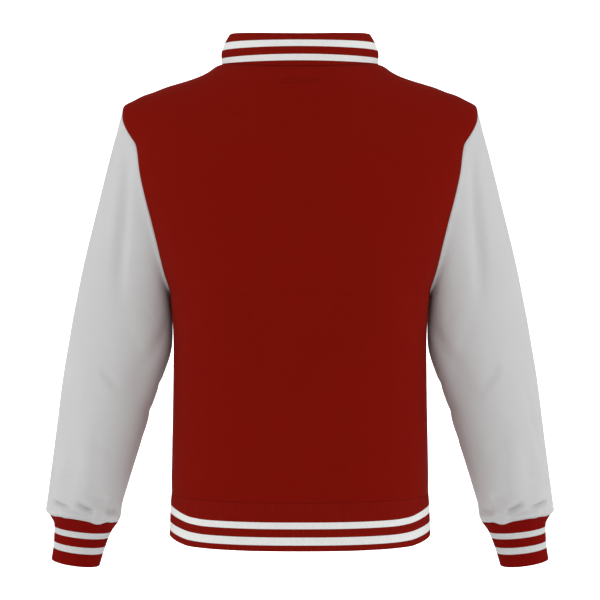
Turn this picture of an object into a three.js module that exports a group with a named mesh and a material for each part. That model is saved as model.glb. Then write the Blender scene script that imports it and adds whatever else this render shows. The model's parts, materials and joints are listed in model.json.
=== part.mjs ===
// Varsity jacket in its worn, hollow form: millimetres, +Z up, the front faces -Y.
// The origin is the middle of the neck, level with the tops of the shoulders.
import * as THREE from "three";

// Cloth and seams
const WALL = 2;
const RIB_WALL = 3;
const SEAM_GAP = 0.3;
const RIB_DEPTH = 0.8;
const LAP = RIB_WALL + 0.4;
const LAP_HALF_WIDTH = 15;
const LAP_RAMP_END = 18;

// Body levels and roundness
const HEM_Z = -582;
const ARM_MID_Z = -185;
const ARM_HALF_HEIGHT = 124;
const TIP_X = 245;
const SECTION_POWER = 2.5;
const NECK_HALF_WIDTH = 107;
const NECK_ROLL_START = (35 * Math.PI) / 180;
const ARM_STEPS = 14;
const NECK_COLUMNS = 5;
const SHOULDER_COLUMNS = 8;

// Each half of the body: +1 is the back and -1 the front.
const HALVES = {
  back: { sign: 1, armDepth: 60, armInset: 5, neckDepth: 72, neckZ: -3, neckPower: 2 },
  front: { sign: -1, armDepth: 66, armInset: 15, neckDepth: 68, neckZ: -85, neckPower: 1.8 },
};

// Half width of the body at its side seam
const SIDE_LINE = [
  { z: -582, x: 177 },
  { z: -530, x: 176.4 },
  { z: -475, x: 175.2 },
  { z: -420, x: 174.4 },
  { z: -375, x: 174.2 },
  { z: -345, x: 175 },
  { z: -325, x: 176.3 },
  { z: -316, x: 177 },
  { z: -309, x: 178 },
];

// Depth of the body on its centre line, and how square its sections are
const CENTRE_LINE = [
  { z: -582, back: 122, front: 125, power: 2.5 },
  { z: -480, back: 119, front: 123, power: 2.5 },
  { z: -400, back: 118, front: 124, power: 2.56 },
  { z: -309, back: 121, front: 127, power: 2.9 },
  { z: -240, back: 124, front: 127, power: 2.65 },
  { z: -185, back: 124, front: 122, power: 2.5 },
];

// Armhole seam, seen square on
const ARMHOLE_LINE = [
  { z: -309, x: 178 },
  { z: -276, x: 189.5 },
  { z: -243, x: 197.6 },
  { z: -210, x: 205.7 },
  { z: -177, x: 214.3 },
  { z: -143, x: 221.5 },
  { z: -108, x: 226 },
  { z: -94, x: 234.3 },
  { z: -83, x: 240.4 },
  { z: -72, x: 244.2 },
  { z: -61, x: 245 },
];

// Shoulder seam from the neck to the tip
const SHOULDER_LINE = [
  { x: 107, z: 5 },
  { x: 117, z: 1 },
  { x: 122, z: -4 },
  { x: 132, z: -9.5 },
  { x: 146, z: -15 },
  { x: 167, z: -21.5 },
  { x: 185, z: -27 },
  { x: 200, z: -33 },
  { x: 215, z: -38 },
  { x: 227, z: -44 },
  { x: 237, z: -49 },
  { x: 242.5, z: -53 },
  { x: 245, z: -61 },
];

// Levels of the body's rows under the armholes
const BODY_ROWS = [
  { z: -582 },
  { z: -548 },
  { z: -505 },
  { z: -455 },
  { z: -405 },
  { z: -362 },
  { z: -330 },
  { z: -317 },
];

// Sleeve rings: outer and inner points of each ring, half its depth, and its middle in Y
const SLEEVE_RINGS = [
  { outX: 249, outZ: -76, inX: 179.9, inZ: -309.6, depth: 62, midY: -4, follow: 0.9 },
  { outX: 255, outZ: -94, inX: 180.2, inZ: -314, depth: 63, midY: -6, follow: 0.75 },
  { outX: 260.5, outZ: -114, inX: 178.8, inZ: -321.5, depth: 64, midY: -8, follow: 0.55 },
  { outX: 267.5, outZ: -138, inX: 177.4, inZ: -331, depth: 65, midY: -11, follow: 0.35 },
  { outX: 274.5, outZ: -166, inX: 176.4, inZ: -342, depth: 65, midY: -14, follow: 0.2 },
  { outX: 283, outZ: -198, inX: 175.8, inZ: -354, depth: 65, midY: -16, follow: 0.1 },
  { outX: 291.7, outZ: -232, inX: 175.7, inZ: -367, depth: 64.5, midY: -17.5, follow: 0 },
  { outX: 299.8, outZ: -268, inX: 177, inZ: -381, depth: 64, midY: -18.5, follow: 0 },
  { outX: 307.3, outZ: -306, inX: 181, inZ: -398, depth: 62.5, midY: -19, follow: 0 },
  { outX: 314.8, outZ: -343, inX: 187.5, inZ: -417, depth: 61, midY: -19, follow: 0 },
  { outX: 321.3, outZ: -380, inX: 195, inZ: -437, depth: 59.5, midY: -19, follow: 0 },
  { outX: 327.5, outZ: -416, inX: 203, inZ: -459, depth: 58, midY: -18.5, follow: 0 },
  { outX: 332.5, outZ: -451, inX: 210, inZ: -482, depth: 56, midY: -18, follow: 0 },
  { outX: 336.8, outZ: -485, inX: 217.5, inZ: -507, depth: 54, midY: -18, follow: 0 },
  { outX: 341.1, outZ: -519, inX: 226, inZ: -533, depth: 52, midY: -17, follow: 0 },
  { outX: 345.4, outZ: -551, inX: 234.5, inZ: -560, depth: 50, midY: -16, follow: 0 },
  { outX: 349, outZ: -578, inX: 241.7, inZ: -584, depth: 48.5, midY: -15, follow: 0 },
  { outX: 351.6, outZ: -598, inX: 247.5, inZ: -604, depth: 48, midY: -15, follow: 0 },
  { outX: 352.6, outZ: -609.5, inX: 249.3, inZ: -617, depth: 47.5, midY: -15, follow: 0 },
  { outX: 348.2, outZ: -619.5, inX: 252.6, inZ: -628.8, depth: 44, midY: -15, follow: 0 },
];

// Soft folds of a sleeve: where they lie round it, over which rings, and how deep
const SLEEVE_FOLDS = [
  { name: "back_trough", angle: 68, spread: 13, from: 1, to: 9, depth: 5 },
  { name: "front_trough", angle: -68, spread: 13, from: 1, to: 9, depth: 4 },
  { name: "elbow_back", angle: 128, spread: 18, from: 9, to: 13, depth: 3 },
  { name: "elbow_front", angle: -118, spread: 18, from: 8, to: 13, depth: 3.5 },
  { name: "wrist_back", angle: 70, spread: 15, from: 14, to: 19, depth: 2 },
  { name: "wrist_front", angle: -100, spread: 15, from: 13, to: 19, depth: 2.5 },
];

// Cuff rings from the sleeve seam to the open end
const CUFF_RINGS = [
  { outX: 348.2, outZ: -619.8, inX: 252.6, inZ: -629.1, depth: 44 },
  { outX: 342, outZ: -631, inX: 262.5, inZ: -641.5, depth: 36 },
  { outX: 342.8, outZ: -656, inX: 272.5, inZ: -667, depth: 33.5 },
  { outX: 346.3, outZ: -680, inX: 279.5, inZ: -690, depth: 32 },
];
const CUFF_RIBS = 34;
const CUFF_MID_Y = -15;

// Hem band from its seam to the lower edge
const HEM_RINGS = [
  { z: -582.3, out: 0 },
  { z: -612, out: 1.8 },
  { z: -646, out: 3.2 },
];
const HEM_RIBS = 140;

// Collar from the neck seam to its folded top edge: height and lean towards the neck
const COLLAR_RINGS = [
  { up: 0, lean: 0 },
  { up: 13, lean: -1 },
  { up: 24, lean: 2 },
  { up: 34, lean: 7 },
  { up: 40.3, lean: 11 },
];
const COLLAR_RIBS = 72;
const COLLAR_SCALE = {
  side: { up: 1, lean: 1 },
  back: { up: 1.12, lean: 0.75 },
  front: { up: 1.1, lean: 1.25 },
};
const COLLAR_HALF_GAP = 1;

// Snap caps down the front edge and on the hem band
const SNAP_RADIUS = 7.5;
const SNAP_HEIGHT = 3;
const SNAP_LEVELS = [
  { z: -114, lift: 1 },
  { z: -220, lift: 0.3 },
  { z: -326, lift: 0.3 },
  { z: -433, lift: 0.3 },
  { z: -540, lift: 0.3 },
];
const HEM_SNAP_Z = -613;
const HEM_SNAP_LIFT = 0.1;

const MATERIALS = {
  body: { color: "#78160a", roughness: 0.9 },
  sleeve: { color: "#c8c8c8", roughness: 0.9 },
  rib: { color: "#871c0a", roughness: 0.92 },
  cuffRib: { color: "#7f0a05", roughness: 0.92 },
  snap: { color: "#d7d9d8", roughness: 0.35 },
};

// A value from a table, smooth between its rows, that never overshoots them
function lookUp(table, key, column, at) {
  const rows = [...table].sort((a, b) => a[key] - b[key]);
  const last = rows.length - 1;
  if (at <= rows[0][key]) return rows[0][column];
  if (at >= rows[last][key]) return rows[last][column];
  let i = 0;
  while (rows[i + 1][key] < at) i += 1;
  const step = (k) => rows[k + 1][key] - rows[k][key];
  const slope = (k) => (rows[k + 1][column] - rows[k][column]) / step(k);
  const tangent = (k) => {
    if (k === 0) return slope(0);
    if (k === last) return slope(last - 1);
    const before = slope(k - 1);
    const after = slope(k);
    return before * after <= 0 ? 0 : (2 * before * after) / (before + after);
  };
  const t = (at - rows[i][key]) / step(i);
  const a = rows[i][column];
  const b = rows[i + 1][column];
  const ta = tangent(i) * step(i);
  const tb = tangent(i + 1) * step(i);
  const t2 = t * t;
  const t3 = t2 * t;
  return (2 * t3 - 3 * t2 + 1) * a + (t3 - 2 * t2 + t) * ta + (3 * t2 - 2 * t3) * b + (t3 - t2) * tb;
}

function smoothStep(from, to, at) {
  const t = Math.min(1, Math.max(0, (at - from) / (to - from)));
  return t * t * (3 - 2 * t);
}

// Normals of a grid of points, from the points on both sides of each one
function gridNormals(grid, closed) {
  const rows = grid.length;
  const columns = grid[0].length;
  const wrap = (j) => (closed ? (j + columns) % columns : Math.min(columns - 1, Math.max(0, j)));
  return grid.map((row, i) =>
    row.map((point, j) => {
      const below = grid[Math.max(0, i - 1)][j];
      const above = grid[Math.min(rows - 1, i + 1)][j];
      const along = new THREE.Vector3().subVectors(row[wrap(j + 1)], row[wrap(j - 1)]);
      const across = new THREE.Vector3().subVectors(above, below);
      return along.cross(across).normalize();
    }),
  );
}

function moved(point, direction, distance) {
  return point.clone().addScaledVector(direction, distance);
}

// A closed wall from its outer and inner points. With ribs, two outer spans face one inner span.
function shellGeometry(outer, inner, { closed = false, ribbed = false, turnEnds = false } = {}) {
  const positions = [];
  const index = [];
  const rows = outer.length;
  const put = (grid) => {
    const start = positions.length / 3;
    grid.forEach((row) => row.forEach((p) => positions.push(p.x, p.y, p.z)));
    return (i, j) => start + i * grid[0].length + (j % grid[0].length);
  };
  const out = put(outer);
  const inn = put(inner);
  const outSpans = outer[0].length - (closed ? 0 : 1);
  const inSpans = inner[0].length - (closed ? 0 : 1);
  const quad = (a, b, c, d) => index.push(a, b, c, a, c, d);
  for (let i = 0; i < rows - 1; i += 1) {
    for (let j = 0; j < outSpans; j += 1) quad(out(i, j), out(i, j + 1), out(i + 1, j + 1), out(i + 1, j));
    for (let j = 0; j < inSpans; j += 1) quad(inn(i, j), inn(i + 1, j), inn(i + 1, j + 1), inn(i, j + 1));
  }
  const rim = (i, flip) => {
    for (let j = 0; j < inSpans; j += 1) {
      const corners = ribbed
        ? [
            [out(i, 2 * j), inn(i, j), out(i, 2 * j + 1)],
            [out(i, 2 * j + 1), inn(i, j), inn(i, j + 1)],
            [out(i, 2 * j + 1), inn(i, j + 1), out(i, 2 * j + 2)],
          ]
        : [
            [out(i, j), inn(i, j), inn(i, j + 1)],
            [out(i, j), inn(i, j + 1), out(i, j + 1)],
          ];
      corners.forEach(([a, b, c]) => (flip ? index.push(a, c, b) : index.push(a, b, c)));
    }
  };
  rim(0, false);
  rim(rows - 1, true);
  if (!closed) {
    const ends = (i) => {
      const first = [out(i, 0), out(i + 1, 0), inn(i + 1, 0), inn(i, 0)];
      const last = [out(i, outSpans), inn(i, inSpans), inn(i + 1, inSpans), out(i + 1, outSpans)];
      if (turnEnds) [first, last].forEach((corners) => corners.unshift(corners.pop()));
      quad(...first);
      quad(...last);
    };
    for (let i = 0; i < rows - 1; i += 1) ends(i);
  }
  const geometry = new THREE.BufferGeometry();
  geometry.setAttribute("position", new THREE.Float32BufferAttribute(positions, 3));
  geometry.setIndex(signedVolume(positions, index) < 0 ? reversed(index) : index);
  geometry.computeVertexNormals();
  return geometry;
}

function signedVolume(positions, index) {
  let total = 0;
  const at = (k) => new THREE.Vector3(positions[3 * k], positions[3 * k + 1], positions[3 * k + 2]);
  for (let i = 0; i < index.length; i += 3) {
    total += at(index[i]).dot(at(index[i + 1]).cross(at(index[i + 2])));
  }
  return total;
}

function reversed(index) {
  const turned = [];
  for (let i = 0; i < index.length; i += 3) turned.push(index[i], index[i + 2], index[i + 1]);
  return turned;
}

// The armhole edge of one half of the body: 0 at the shoulder tip, PI at the underarm
function armholePoint(half, angle) {
  const z = ARM_MID_Z + ARM_HALF_HEIGHT * Math.cos(angle);
  const x = lookUp(ARMHOLE_LINE, "z", "x", z) - half.armInset * Math.sin(angle);
  const y = Math.max(SEAM_GAP / 2, half.armDepth * Math.sin(angle));
  return new THREE.Vector3(x, half.sign * y, z);
}

// Rows of the body: level ones up to the underarm, then one for each step of the armhole
function bodyRows() {
  const rows = BODY_ROWS.map((row) => ({ z: row.z, angle: Math.PI, level: true }));
  for (let k = 0; k <= ARM_STEPS; k += 1) {
    const angle = Math.PI * (1 - k / ARM_STEPS);
    rows.push({ z: ARM_MID_Z + ARM_HALF_HEIGHT * Math.cos(angle), angle, level: false });
  }
  return rows;
}

// How far a column lies towards the side seam: 0 at the centre line and 1 at the edge
function columnShares(edgeAngle) {
  const neckShare = NECK_HALF_WIDTH / TIP_X;
  const limit = Math.sin(edgeAngle);
  const turnOf = (share) => Math.asin(limit * share ** (SECTION_POWER / 2)) / edgeAngle;
  const neckTurn = turnOf(neckShare);
  const turns = [];
  for (let k = 0; k <= NECK_COLUMNS; k += 1) {
    turns.push(turnOf(neckShare * Math.sin((Math.PI / 2) * (k / NECK_COLUMNS))));
  }
  for (let k = 1; k <= SHOULDER_COLUMNS; k += 1) {
    turns.push(neckTurn + ((1 - neckTurn) * k) / SHOULDER_COLUMNS);
  }
  return turns;
}

function edgeAngleOf(centreDepth, edgeDepth, power) {
  return Math.acos(Math.min(1, (edgeDepth / centreDepth) ** (power / 2)));
}

// Height and depth of the neck and shoulder line over a point of the width
function topLine(half, x) {
  const reach = Math.abs(x);
  if (reach >= NECK_HALF_WIDTH - 0.01) {
    return { z: lookUp(SHOULDER_LINE, "x", "z", reach), y: SEAM_GAP / 2, rollStart: 0 };
  }
  const bow = Math.sqrt(1 - (reach / NECK_HALF_WIDTH) ** 2);
  const rise = SHOULDER_LINE[0].z - half.neckZ;
  return {
    z: SHOULDER_LINE[0].z - rise * bow ** half.neckPower,
    y: Math.max(SEAM_GAP / 2, half.neckDepth * bow),
    rollStart: NECK_ROLL_START * bow,
  };
}

// One outer point of the body. A column is a turn towards the side or a fixed place in X.
function bodyPoint(half, halfName, row, column) {
  const middle = armholePoint(half, Math.PI / 2);
  const midDepth = lookUp(CENTRE_LINE, "z", halfName, ARM_MID_Z);
  const midAngle = edgeAngleOf(midDepth, Math.abs(middle.y), SECTION_POWER);
  const upper = row.angle < Math.PI / 2 - 0.001;
  const power = upper ? SECTION_POWER : lookUp(CENTRE_LINE, "z", "power", row.z);
  const centreDepth = upper ? midDepth : lookUp(CENTRE_LINE, "z", halfName, row.z);
  const edge = armholePoint(half, row.angle);
  const edgeX = row.level ? lookUp(SIDE_LINE, "z", "x", row.z) : edge.x;
  const edgeDepth = upper ? Math.abs(middle.y) : Math.abs(edge.y);
  const edgeAngle = upper ? midAngle : edgeAngleOf(centreDepth, edgeDepth, power);
  const shareOf = (turn, limit) => (Math.sin(turn * limit) / Math.sin(limit)) ** (2 / power);
  const x = column.x === undefined ? edgeX * shareOf(column.turn, edgeAngle) : column.x;
  const share = Math.min(1, Math.abs(x) / edgeX);
  const squeeze = Math.sin(edgeAngle) ** (2 / power);
  const bulge = (1 - (share * squeeze) ** power) ** (1 / power);
  const fullDepth = Math.max(edgeDepth, centreDepth * bulge);
  if (!upper) return new THREE.Vector3(x, half.sign * fullDepth, row.z);
  const topX = column.x === undefined ? TIP_X * shareOf(column.turn, midAngle) : column.x;
  const top = topLine(half, topX);
  const roll = top.rollStart + (Math.PI / 2 - top.rollStart) * (row.angle / (Math.PI / 2));
  const startSin = Math.sin(top.rollStart);
  const startCos = Math.cos(top.rollStart);
  const drop = ((top.z - ARM_MID_Z) * (startCos - Math.cos(roll))) / startCos;
  const out = ((fullDepth - top.y) * (Math.sin(roll) - startSin)) / (1 - startSin);
  return new THREE.Vector3(x, half.sign * (top.y + out), top.z - drop);
}

// Outer points of one half of the body over a list of columns
function bodyGrid(halfName, columns) {
  const half = HALVES[halfName];
  return bodyRows().map((row) =>
    columns.map((column) => {
      const point = bodyPoint(half, halfName, row, column);
      if (column.mirror) point.x = -point.x;
      return point;
    }),
  );
}

function sideColumns(halfName, mirror) {
  const half = HALVES[halfName];
  const midDepth = lookUp(CENTRE_LINE, "z", halfName, ARM_MID_Z);
  const angle = edgeAngleOf(midDepth, half.armDepth, SECTION_POWER);
  return columnShares(angle).map((turn) => ({ turn, mirror }));
}

// Normals of a panel that face out, level along the hem and square to the side and shoulder seams
function panelNormals(grid, sign, sideEnds) {
  const normals = gridNormals(grid, false);
  const last = grid[0].length - 1;
  const middle = normals[2][Math.floor(last / 2)];
  const turn = middle.y * sign < 0 ? -1 : 1;
  normals.forEach((row) => row.forEach((n) => n.multiplyScalar(turn)));
  normals[0].forEach((n) => n.setZ(0).normalize());
  sideEnds.forEach((j) => {
    for (let i = 0; i < BODY_ROWS.length + 1; i += 1) normals[i][j].setY(0).normalize();
  });
  const top = grid.length - 1;
  grid[top].forEach((p, j) => {
    if (Math.abs(p.x) >= NECK_HALF_WIDTH - 0.01) normals[top][j].setY(0).normalize();
  });
  return normals;
}

function wallInside(grid, normals, thickness) {
  return grid.map((row, i) => row.map((p, j) => moved(p, normals[i][j], -thickness)));
}

function backPanel() {
  const right = sideColumns("back", true).slice(1).reverse();
  const grid = bodyGrid("back", [...right, ...sideColumns("back", false)]);
  const normals = panelNormals(grid, 1, [0, grid[0].length - 1]);
  return { grid, normals, inner: wallInside(grid, normals, WALL) };
}

// The left front lies on top and ends past the centre line
function leftFrontPanel() {
  const lap = [{ x: -LAP_HALF_WIDTH }, { x: -COLLAR_HALF_GAP }, { x: COLLAR_HALF_GAP }];
  const columns = [...lap, ...sideColumns("front", false).slice(1)];
  const grid = bodyGrid("front", columns);
  const normals = panelNormals(grid, -1, [grid[0].length - 1]);
  return { grid, normals, inner: wallInside(grid, normals, WALL) };
}

// The right front goes under the left one
function rightFrontPanel() {
  const lap = [{ x: -LAP_RAMP_END }, { x: -COLLAR_HALF_GAP }, { x: LAP_HALF_WIDTH }];
  const columns = [...sideColumns("front", true).slice(1).reverse(), ...lap];
  const base = bodyGrid("front", columns);
  const baseNormals = panelNormals(base, -1, [0]);
  const first = columns.length - lap.length;
  const grid = base.map((row, i) =>
    row.map((p, j) => moved(p, baseNormals[i][j], j >= first ? -LAP : 0)),
  );
  const normals = panelNormals(grid, -1, [0]);
  return { base, baseNormals, grid, normals, inner: wallInside(grid, normals, WALL) };
}

// One edge of a panel: its points, outward normals, and the way on past the edge
function edgeOf(panel, rowOf, columnOf, count, beyond) {
  const list = [];
  for (let k = 0; k < count; k += 1) {
    const p = panel.grid[rowOf(k)][columnOf(k)];
    const n = panel.normals[rowOf(k)][columnOf(k)];
    list.push({ p, n, past: beyond(k, p) });
  }
  return list.map((item, k) => {
    const before = list[Math.max(0, k - 1)].p;
    const after = list[Math.min(count - 1, k + 1)].p;
    const along = new THREE.Vector3().subVectors(after, before).normalize();
    const away = new THREE.Vector3().crossVectors(along, item.n).normalize();
    if (away.dot(item.past) < 0) away.negate();
    return { p: item.p.clone(), n: item.n.clone(), away };
  });
}

// The one place where the edges of two panels meet on the seam between them
function joined(a, b) {
  return {
    p: a.p.clone().lerp(b.p, 0.5),
    n: a.n.clone().add(b.n).setY(0).normalize(),
    away: a.away.clone().add(b.away).setY(0).normalize(),
  };
}

// The armhole edge of a panel from the shoulder tip down
function armholeEdge(panel) {
  const top = panel.grid.length - 1;
  const last = panel.grid[0].length - 1;
  return edgeOf(panel, (k) => top - k, () => last, ARM_STEPS + 1, (k, p) =>
    new THREE.Vector3().subVectors(p, panel.grid[top - k][last - 1]),
  );
}

// The sleeve's first ring follows both armhole edges, 0.3 mm away from them
function sleeveStart(back, front) {
  const backEdge = armholeEdge(back);
  const frontEdge = armholeEdge(front);
  const ring = [joined(backEdge[0], frontEdge[0])];
  for (let k = 1; k < ARM_STEPS; k += 1) ring.push(backEdge[k]);
  ring.push(joined(backEdge[ARM_STEPS], frontEdge[ARM_STEPS]));
  for (let k = ARM_STEPS - 1; k > 0; k -= 1) ring.push(frontEdge[k]);
  return {
    outer: ring.map((e) => moved(e.p, e.away, SEAM_GAP)),
    inner: ring.map((e) => moved(moved(e.p, e.n, -WALL), e.away, SEAM_GAP)),
  };
}

// Points of one ring between its outer and inner points, from the outer one over the back
function ringPoints(ring, midY, count) {
  const points = [];
  for (let j = 0; j < count; j += 1) {
    const angle = (2 * Math.PI * j) / count;
    const reach = (1 + Math.cos(angle)) / 2;
    const x = ring.inX + (ring.outX - ring.inX) * reach;
    const z = ring.inZ + (ring.outZ - ring.inZ) * reach;
    points.push(new THREE.Vector3(x, midY + ring.depth * Math.sin(angle), z));
  }
  return points;
}

function foldDepth(ringNumber, degrees) {
  let depth = 0;
  SLEEVE_FOLDS.forEach((fold) => {
    const away = ((degrees - fold.angle + 540) % 360) - 180;
    const round = Math.exp(-((away / fold.spread) ** 2));
    const share = (ringNumber - fold.from) / (fold.to - fold.from);
    const along = share > 0 && share < 1 ? Math.sin(Math.PI * share) ** 1.5 : 0;
    depth += fold.depth * round * along;
  });
  return depth;
}

function sleevePanel(back, front) {
  const start = sleeveStart(back, front);
  const count = 2 * ARM_STEPS;
  const tip = start.outer[0];
  const under = start.outer[ARM_STEPS];
  const plain = ringPoints(
    { outX: tip.x, outZ: tip.z, inX: under.x, inZ: under.z, depth: HALVES.back.armDepth },
    0,
    count,
  );
  const grid = [start.outer];
  SLEEVE_RINGS.forEach((ring) => {
    const points = ringPoints(ring, ring.midY, count);
    points.forEach((p, j) => {
      const drift = new THREE.Vector3().subVectors(start.outer[j], plain[j]);
      p.addScaledVector(drift, ring.follow);
    });
    grid.push(points);
  });
  const flat = gridNormals(grid, true);
  const outward = flat[8][0].x < 0 ? -1 : 1;
  grid.forEach((row, i) =>
    row.forEach((p, j) => {
      p.addScaledVector(flat[i][j], -outward * foldDepth(i, (360 * j) / count));
    }),
  );
  const normals = gridNormals(grid, true);
  normals.forEach((row) => row.forEach((n) => n.multiplyScalar(outward)));
  const last = grid.length - 1;
  const axis = ringAxis(SLEEVE_RINGS[SLEEVE_RINGS.length - 1]);
  normals[last].forEach((n) => n.addScaledVector(axis, -n.dot(axis)).normalize());
  const inner = wallInside(grid, normals, WALL);
  inner[0] = start.inner;
  return { grid, inner };
}

// The way along the arm, square to a ring
function ringAxis(ring) {
  return new THREE.Vector3(ring.outZ - ring.inZ, 0, ring.inX - ring.outX).normalize();
}

// Outer points with ribs: every second station is a valley
function ribbedOuter(grid, normals) {
  return grid.map((row, i) =>
    row.map((p, j) => moved(p, normals[i][j], j % 2 === 1 ? -RIB_DEPTH : 0)),
  );
}

function everySecond(grid) {
  return grid.map((row) => row.filter((_, j) => j % 2 === 0));
}

function cuffGeometry() {
  const grid = CUFF_RINGS.map((ring) => ringPoints(ring, CUFF_MID_Y, 2 * CUFF_RIBS));
  const normals = gridNormals(grid, true);
  const outward = normals[1][0].x < 0 ? -1 : 1;
  normals.forEach((row, i) => {
    const axis = ringAxis(CUFF_RINGS[i]);
    row.forEach((n) => n.multiplyScalar(outward));
    if (i === 0 || i === CUFF_RINGS.length - 1) {
      row.forEach((n) => n.addScaledVector(axis, -n.dot(axis)).normalize());
    }
  });
  const inner = wallInside(grid, normals, RIB_WALL);
  return shellGeometry(ribbedOuter(grid, normals), everySecond(inner), {
    closed: true,
    ribbed: true,
  });
}

// Points spaced evenly along a list of stations, mixed from the two stations on each side
function evenStations(stations, count) {
  const reach = [0];
  for (let k = 1; k < stations.length; k += 1) {
    reach.push(reach[k - 1] + stations[k].p.distanceTo(stations[k - 1].p));
  }
  const total = reach[reach.length - 1];
  const result = [];
  for (let k = 0; k < count; k += 1) {
    const at = (total * k) / (count - 1);
    let i = 0;
    while (i < stations.length - 2 && reach[i + 1] < at) i += 1;
    const t = (at - reach[i]) / (reach[i + 1] - reach[i]);
    const a = stations[i];
    const b = stations[i + 1];
    const mix = (key) => a[key].clone().lerp(b[key], t);
    const station = { p: mix("p"), n: mix("n").normalize() };
    if (a.away) station.away = mix("away").normalize();
    result.push(station);
  }
  return result;
}

// The hem outline seen from above, from the left front's edge round the back to the right front's
function hemStations() {
  const depth = (side) => lookUp(CENTRE_LINE, "z", side, HEM_Z);
  const half = lookUp(SIDE_LINE, "z", "x", HEM_Z);
  const startTurn = Math.asin((LAP_HALF_WIDTH / half) ** (SECTION_POWER / 2));
  const steps = 360;
  const power = (v) => Math.sign(v) * Math.abs(v) ** (2 / SECTION_POWER);
  const stations = [];
  for (let k = 0; k <= steps; k += 1) {
    const turn = -startTurn + ((2 * Math.PI + 2 * startTurn) * k) / steps;
    const x = half * power(Math.sin(turn));
    const front = Math.cos(turn) > 0;
    const y = -depth(front ? "front" : "back") * power(Math.cos(turn));
    const right = turn > (3 * Math.PI) / 2;
    const under = right && front ? smoothStep(-2 * LAP_HALF_WIDTH, -LAP_RAMP_END, x) : 0;
    stations.push({ p: new THREE.Vector3(x, y, HEM_RINGS[0].z), under });
  }
  stations.forEach((s, k) => {
    const before = stations[Math.max(0, k - 1)].p;
    const after = stations[Math.min(steps, k + 1)].p;
    s.n = new THREE.Vector3(after.y - before.y, before.x - after.x, 0).normalize();
  });
  stations.forEach((s) => s.p.addScaledVector(s.n, -LAP * s.under));
  return stations;
}

function hemGeometry() {
  const stations = evenStations(hemStations(), 2 * HEM_RIBS + 1);
  const grid = HEM_RINGS.map((ring) =>
    stations.map((s) => moved(s.p, s.n, ring.out).setZ(ring.z)),
  );
  const normals = HEM_RINGS.map(() => stations.map((s) => s.n));
  const inner = wallInside(grid, normals, RIB_WALL);
  return shellGeometry(ribbedOuter(grid, normals), everySecond(inner), { ribbed: true });
}

// The neck edge from the centre front round the left shoulder and the back to the centre front
function neckStations(back, leftFront, rightFront) {
  const neckPart = (panel) => {
    const top = panel.grid.length - 1;
    const columns = panel.grid[top]
      .map((p, j) => ({ x: Math.abs(p.x), j }))
      .filter((c) => c.x <= NECK_HALF_WIDTH + 0.01)
      .map((c) => c.j);
    return edgeOf(panel, () => top, (k) => columns[k], columns.length, (k, p) =>
      new THREE.Vector3().subVectors(p, panel.grid[top - 1][columns[k]]),
    );
  };
  const left = neckPart(leftFront).filter((s) => s.p.x > 0);
  const across = neckPart(back).reverse();
  const plainRight = { grid: rightFront.base, normals: rightFront.baseNormals };
  const right = neckPart(plainRight).filter((s) => s.p.x < 0);
  const leftShoulder = joined(left.pop(), across.shift());
  const rightShoulder = joined(across.pop(), right.shift());
  return [...left, leftShoulder, ...across, rightShoulder, ...right];
}

function collarGeometry(back, leftFront, rightFront) {
  const stations = evenStations(neckStations(back, leftFront, rightFront), 2 * COLLAR_RIBS + 1);
  const base = stations.map((s) => moved(s.p, s.away, SEAM_GAP));
  const inward = base.map((p, k) => {
    const before = base[Math.max(0, k - 1)];
    const after = base[Math.min(base.length - 1, k + 1)];
    const n = new THREE.Vector3(before.y - after.y, after.x - before.x, 0).normalize();
    return n.dot(p) > 0 ? n.negate() : n;
  });
  const scaleAt = (p, key) => {
    const bow = Math.sqrt(Math.max(0, 1 - (p.x / NECK_HALF_WIDTH) ** 2));
    const end = p.y > 0 ? COLLAR_SCALE.back : COLLAR_SCALE.front;
    return COLLAR_SCALE.side[key] + (end[key] - COLLAR_SCALE.side[key]) * bow;
  };
  const grid = COLLAR_RINGS.map((ring) =>
    base.map((p, k) => {
      const point = moved(p, inward[k], ring.lean * scaleAt(p, "lean"));
      point.z += ring.up * scaleAt(p, "up");
      return point;
    }),
  );
  const normals = gridNormals(grid, false);
  const outward = normals[2][COLLAR_RIBS].dot(inward[COLLAR_RIBS]) > 0 ? -1 : 1;
  normals.forEach((row) => row.forEach((n) => n.multiplyScalar(outward)));
  normals[0] = inward.map((v) => v.clone().negate());
  const inner = wallInside(grid, normals, RIB_WALL);
  return shellGeometry(ribbedOuter(grid, normals), everySecond(inner), { ribbed: true });
}

function snapGeometry() {
  const profile = [
    [0, 0],
    [SNAP_RADIUS - 0.7, 0],
    [SNAP_RADIUS, 0.7],
    [SNAP_RADIUS - 0.4, 1.6],
    [SNAP_RADIUS * 0.6, SNAP_HEIGHT - 0.4],
    [0, SNAP_HEIGHT],
  ].map(([r, h]) => new THREE.Vector2(r, h));
  return new THREE.LatheGeometry(profile, 18);
}

// Where a snap sits on the left front: the place on its centre line and the way out
function snapSeat(panel, z) {
  const column = 1;
  let i = 0;
  while (panel.grid[i + 1][column].z < z) i += 1;
  const low = panel.grid[i][column];
  const high = panel.grid[i + 1][column];
  const place = low.clone().lerp(high, (z - low.z) / (high.z - low.z)).setX(0);
  const rise = new THREE.Vector3(0, high.y - low.y, high.z - low.z).normalize();
  return { place, out: new THREE.Vector3(0, -rise.z, rise.y) };
}

function snapMesh(name, seat, lift) {
  const mesh = meshOf(name, snapGeometry(), MATERIALS.snap);
  mesh.quaternion.setFromUnitVectors(new THREE.Vector3(0, 1, 0), seat.out);
  mesh.position.copy(moved(seat.place, seat.out, lift));
  return mesh;
}

function meshOf(name, geometry, look) {
  const material = new THREE.MeshStandardMaterial({ ...look, metalness: 0 });
  const mesh = new THREE.Mesh(geometry, material);
  mesh.name = name;
  return mesh;
}

function mirroredGrid(grid) {
  return grid.map((row) => row.map((p) => new THREE.Vector3(-p.x, p.y, p.z)));
}

function mirroredGeometry(geometry) {
  const copy = geometry.clone().scale(-1, 1, 1);
  copy.setIndex(reversed([...copy.index.array]));
  copy.computeVertexNormals();
  return copy;
}

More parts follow.
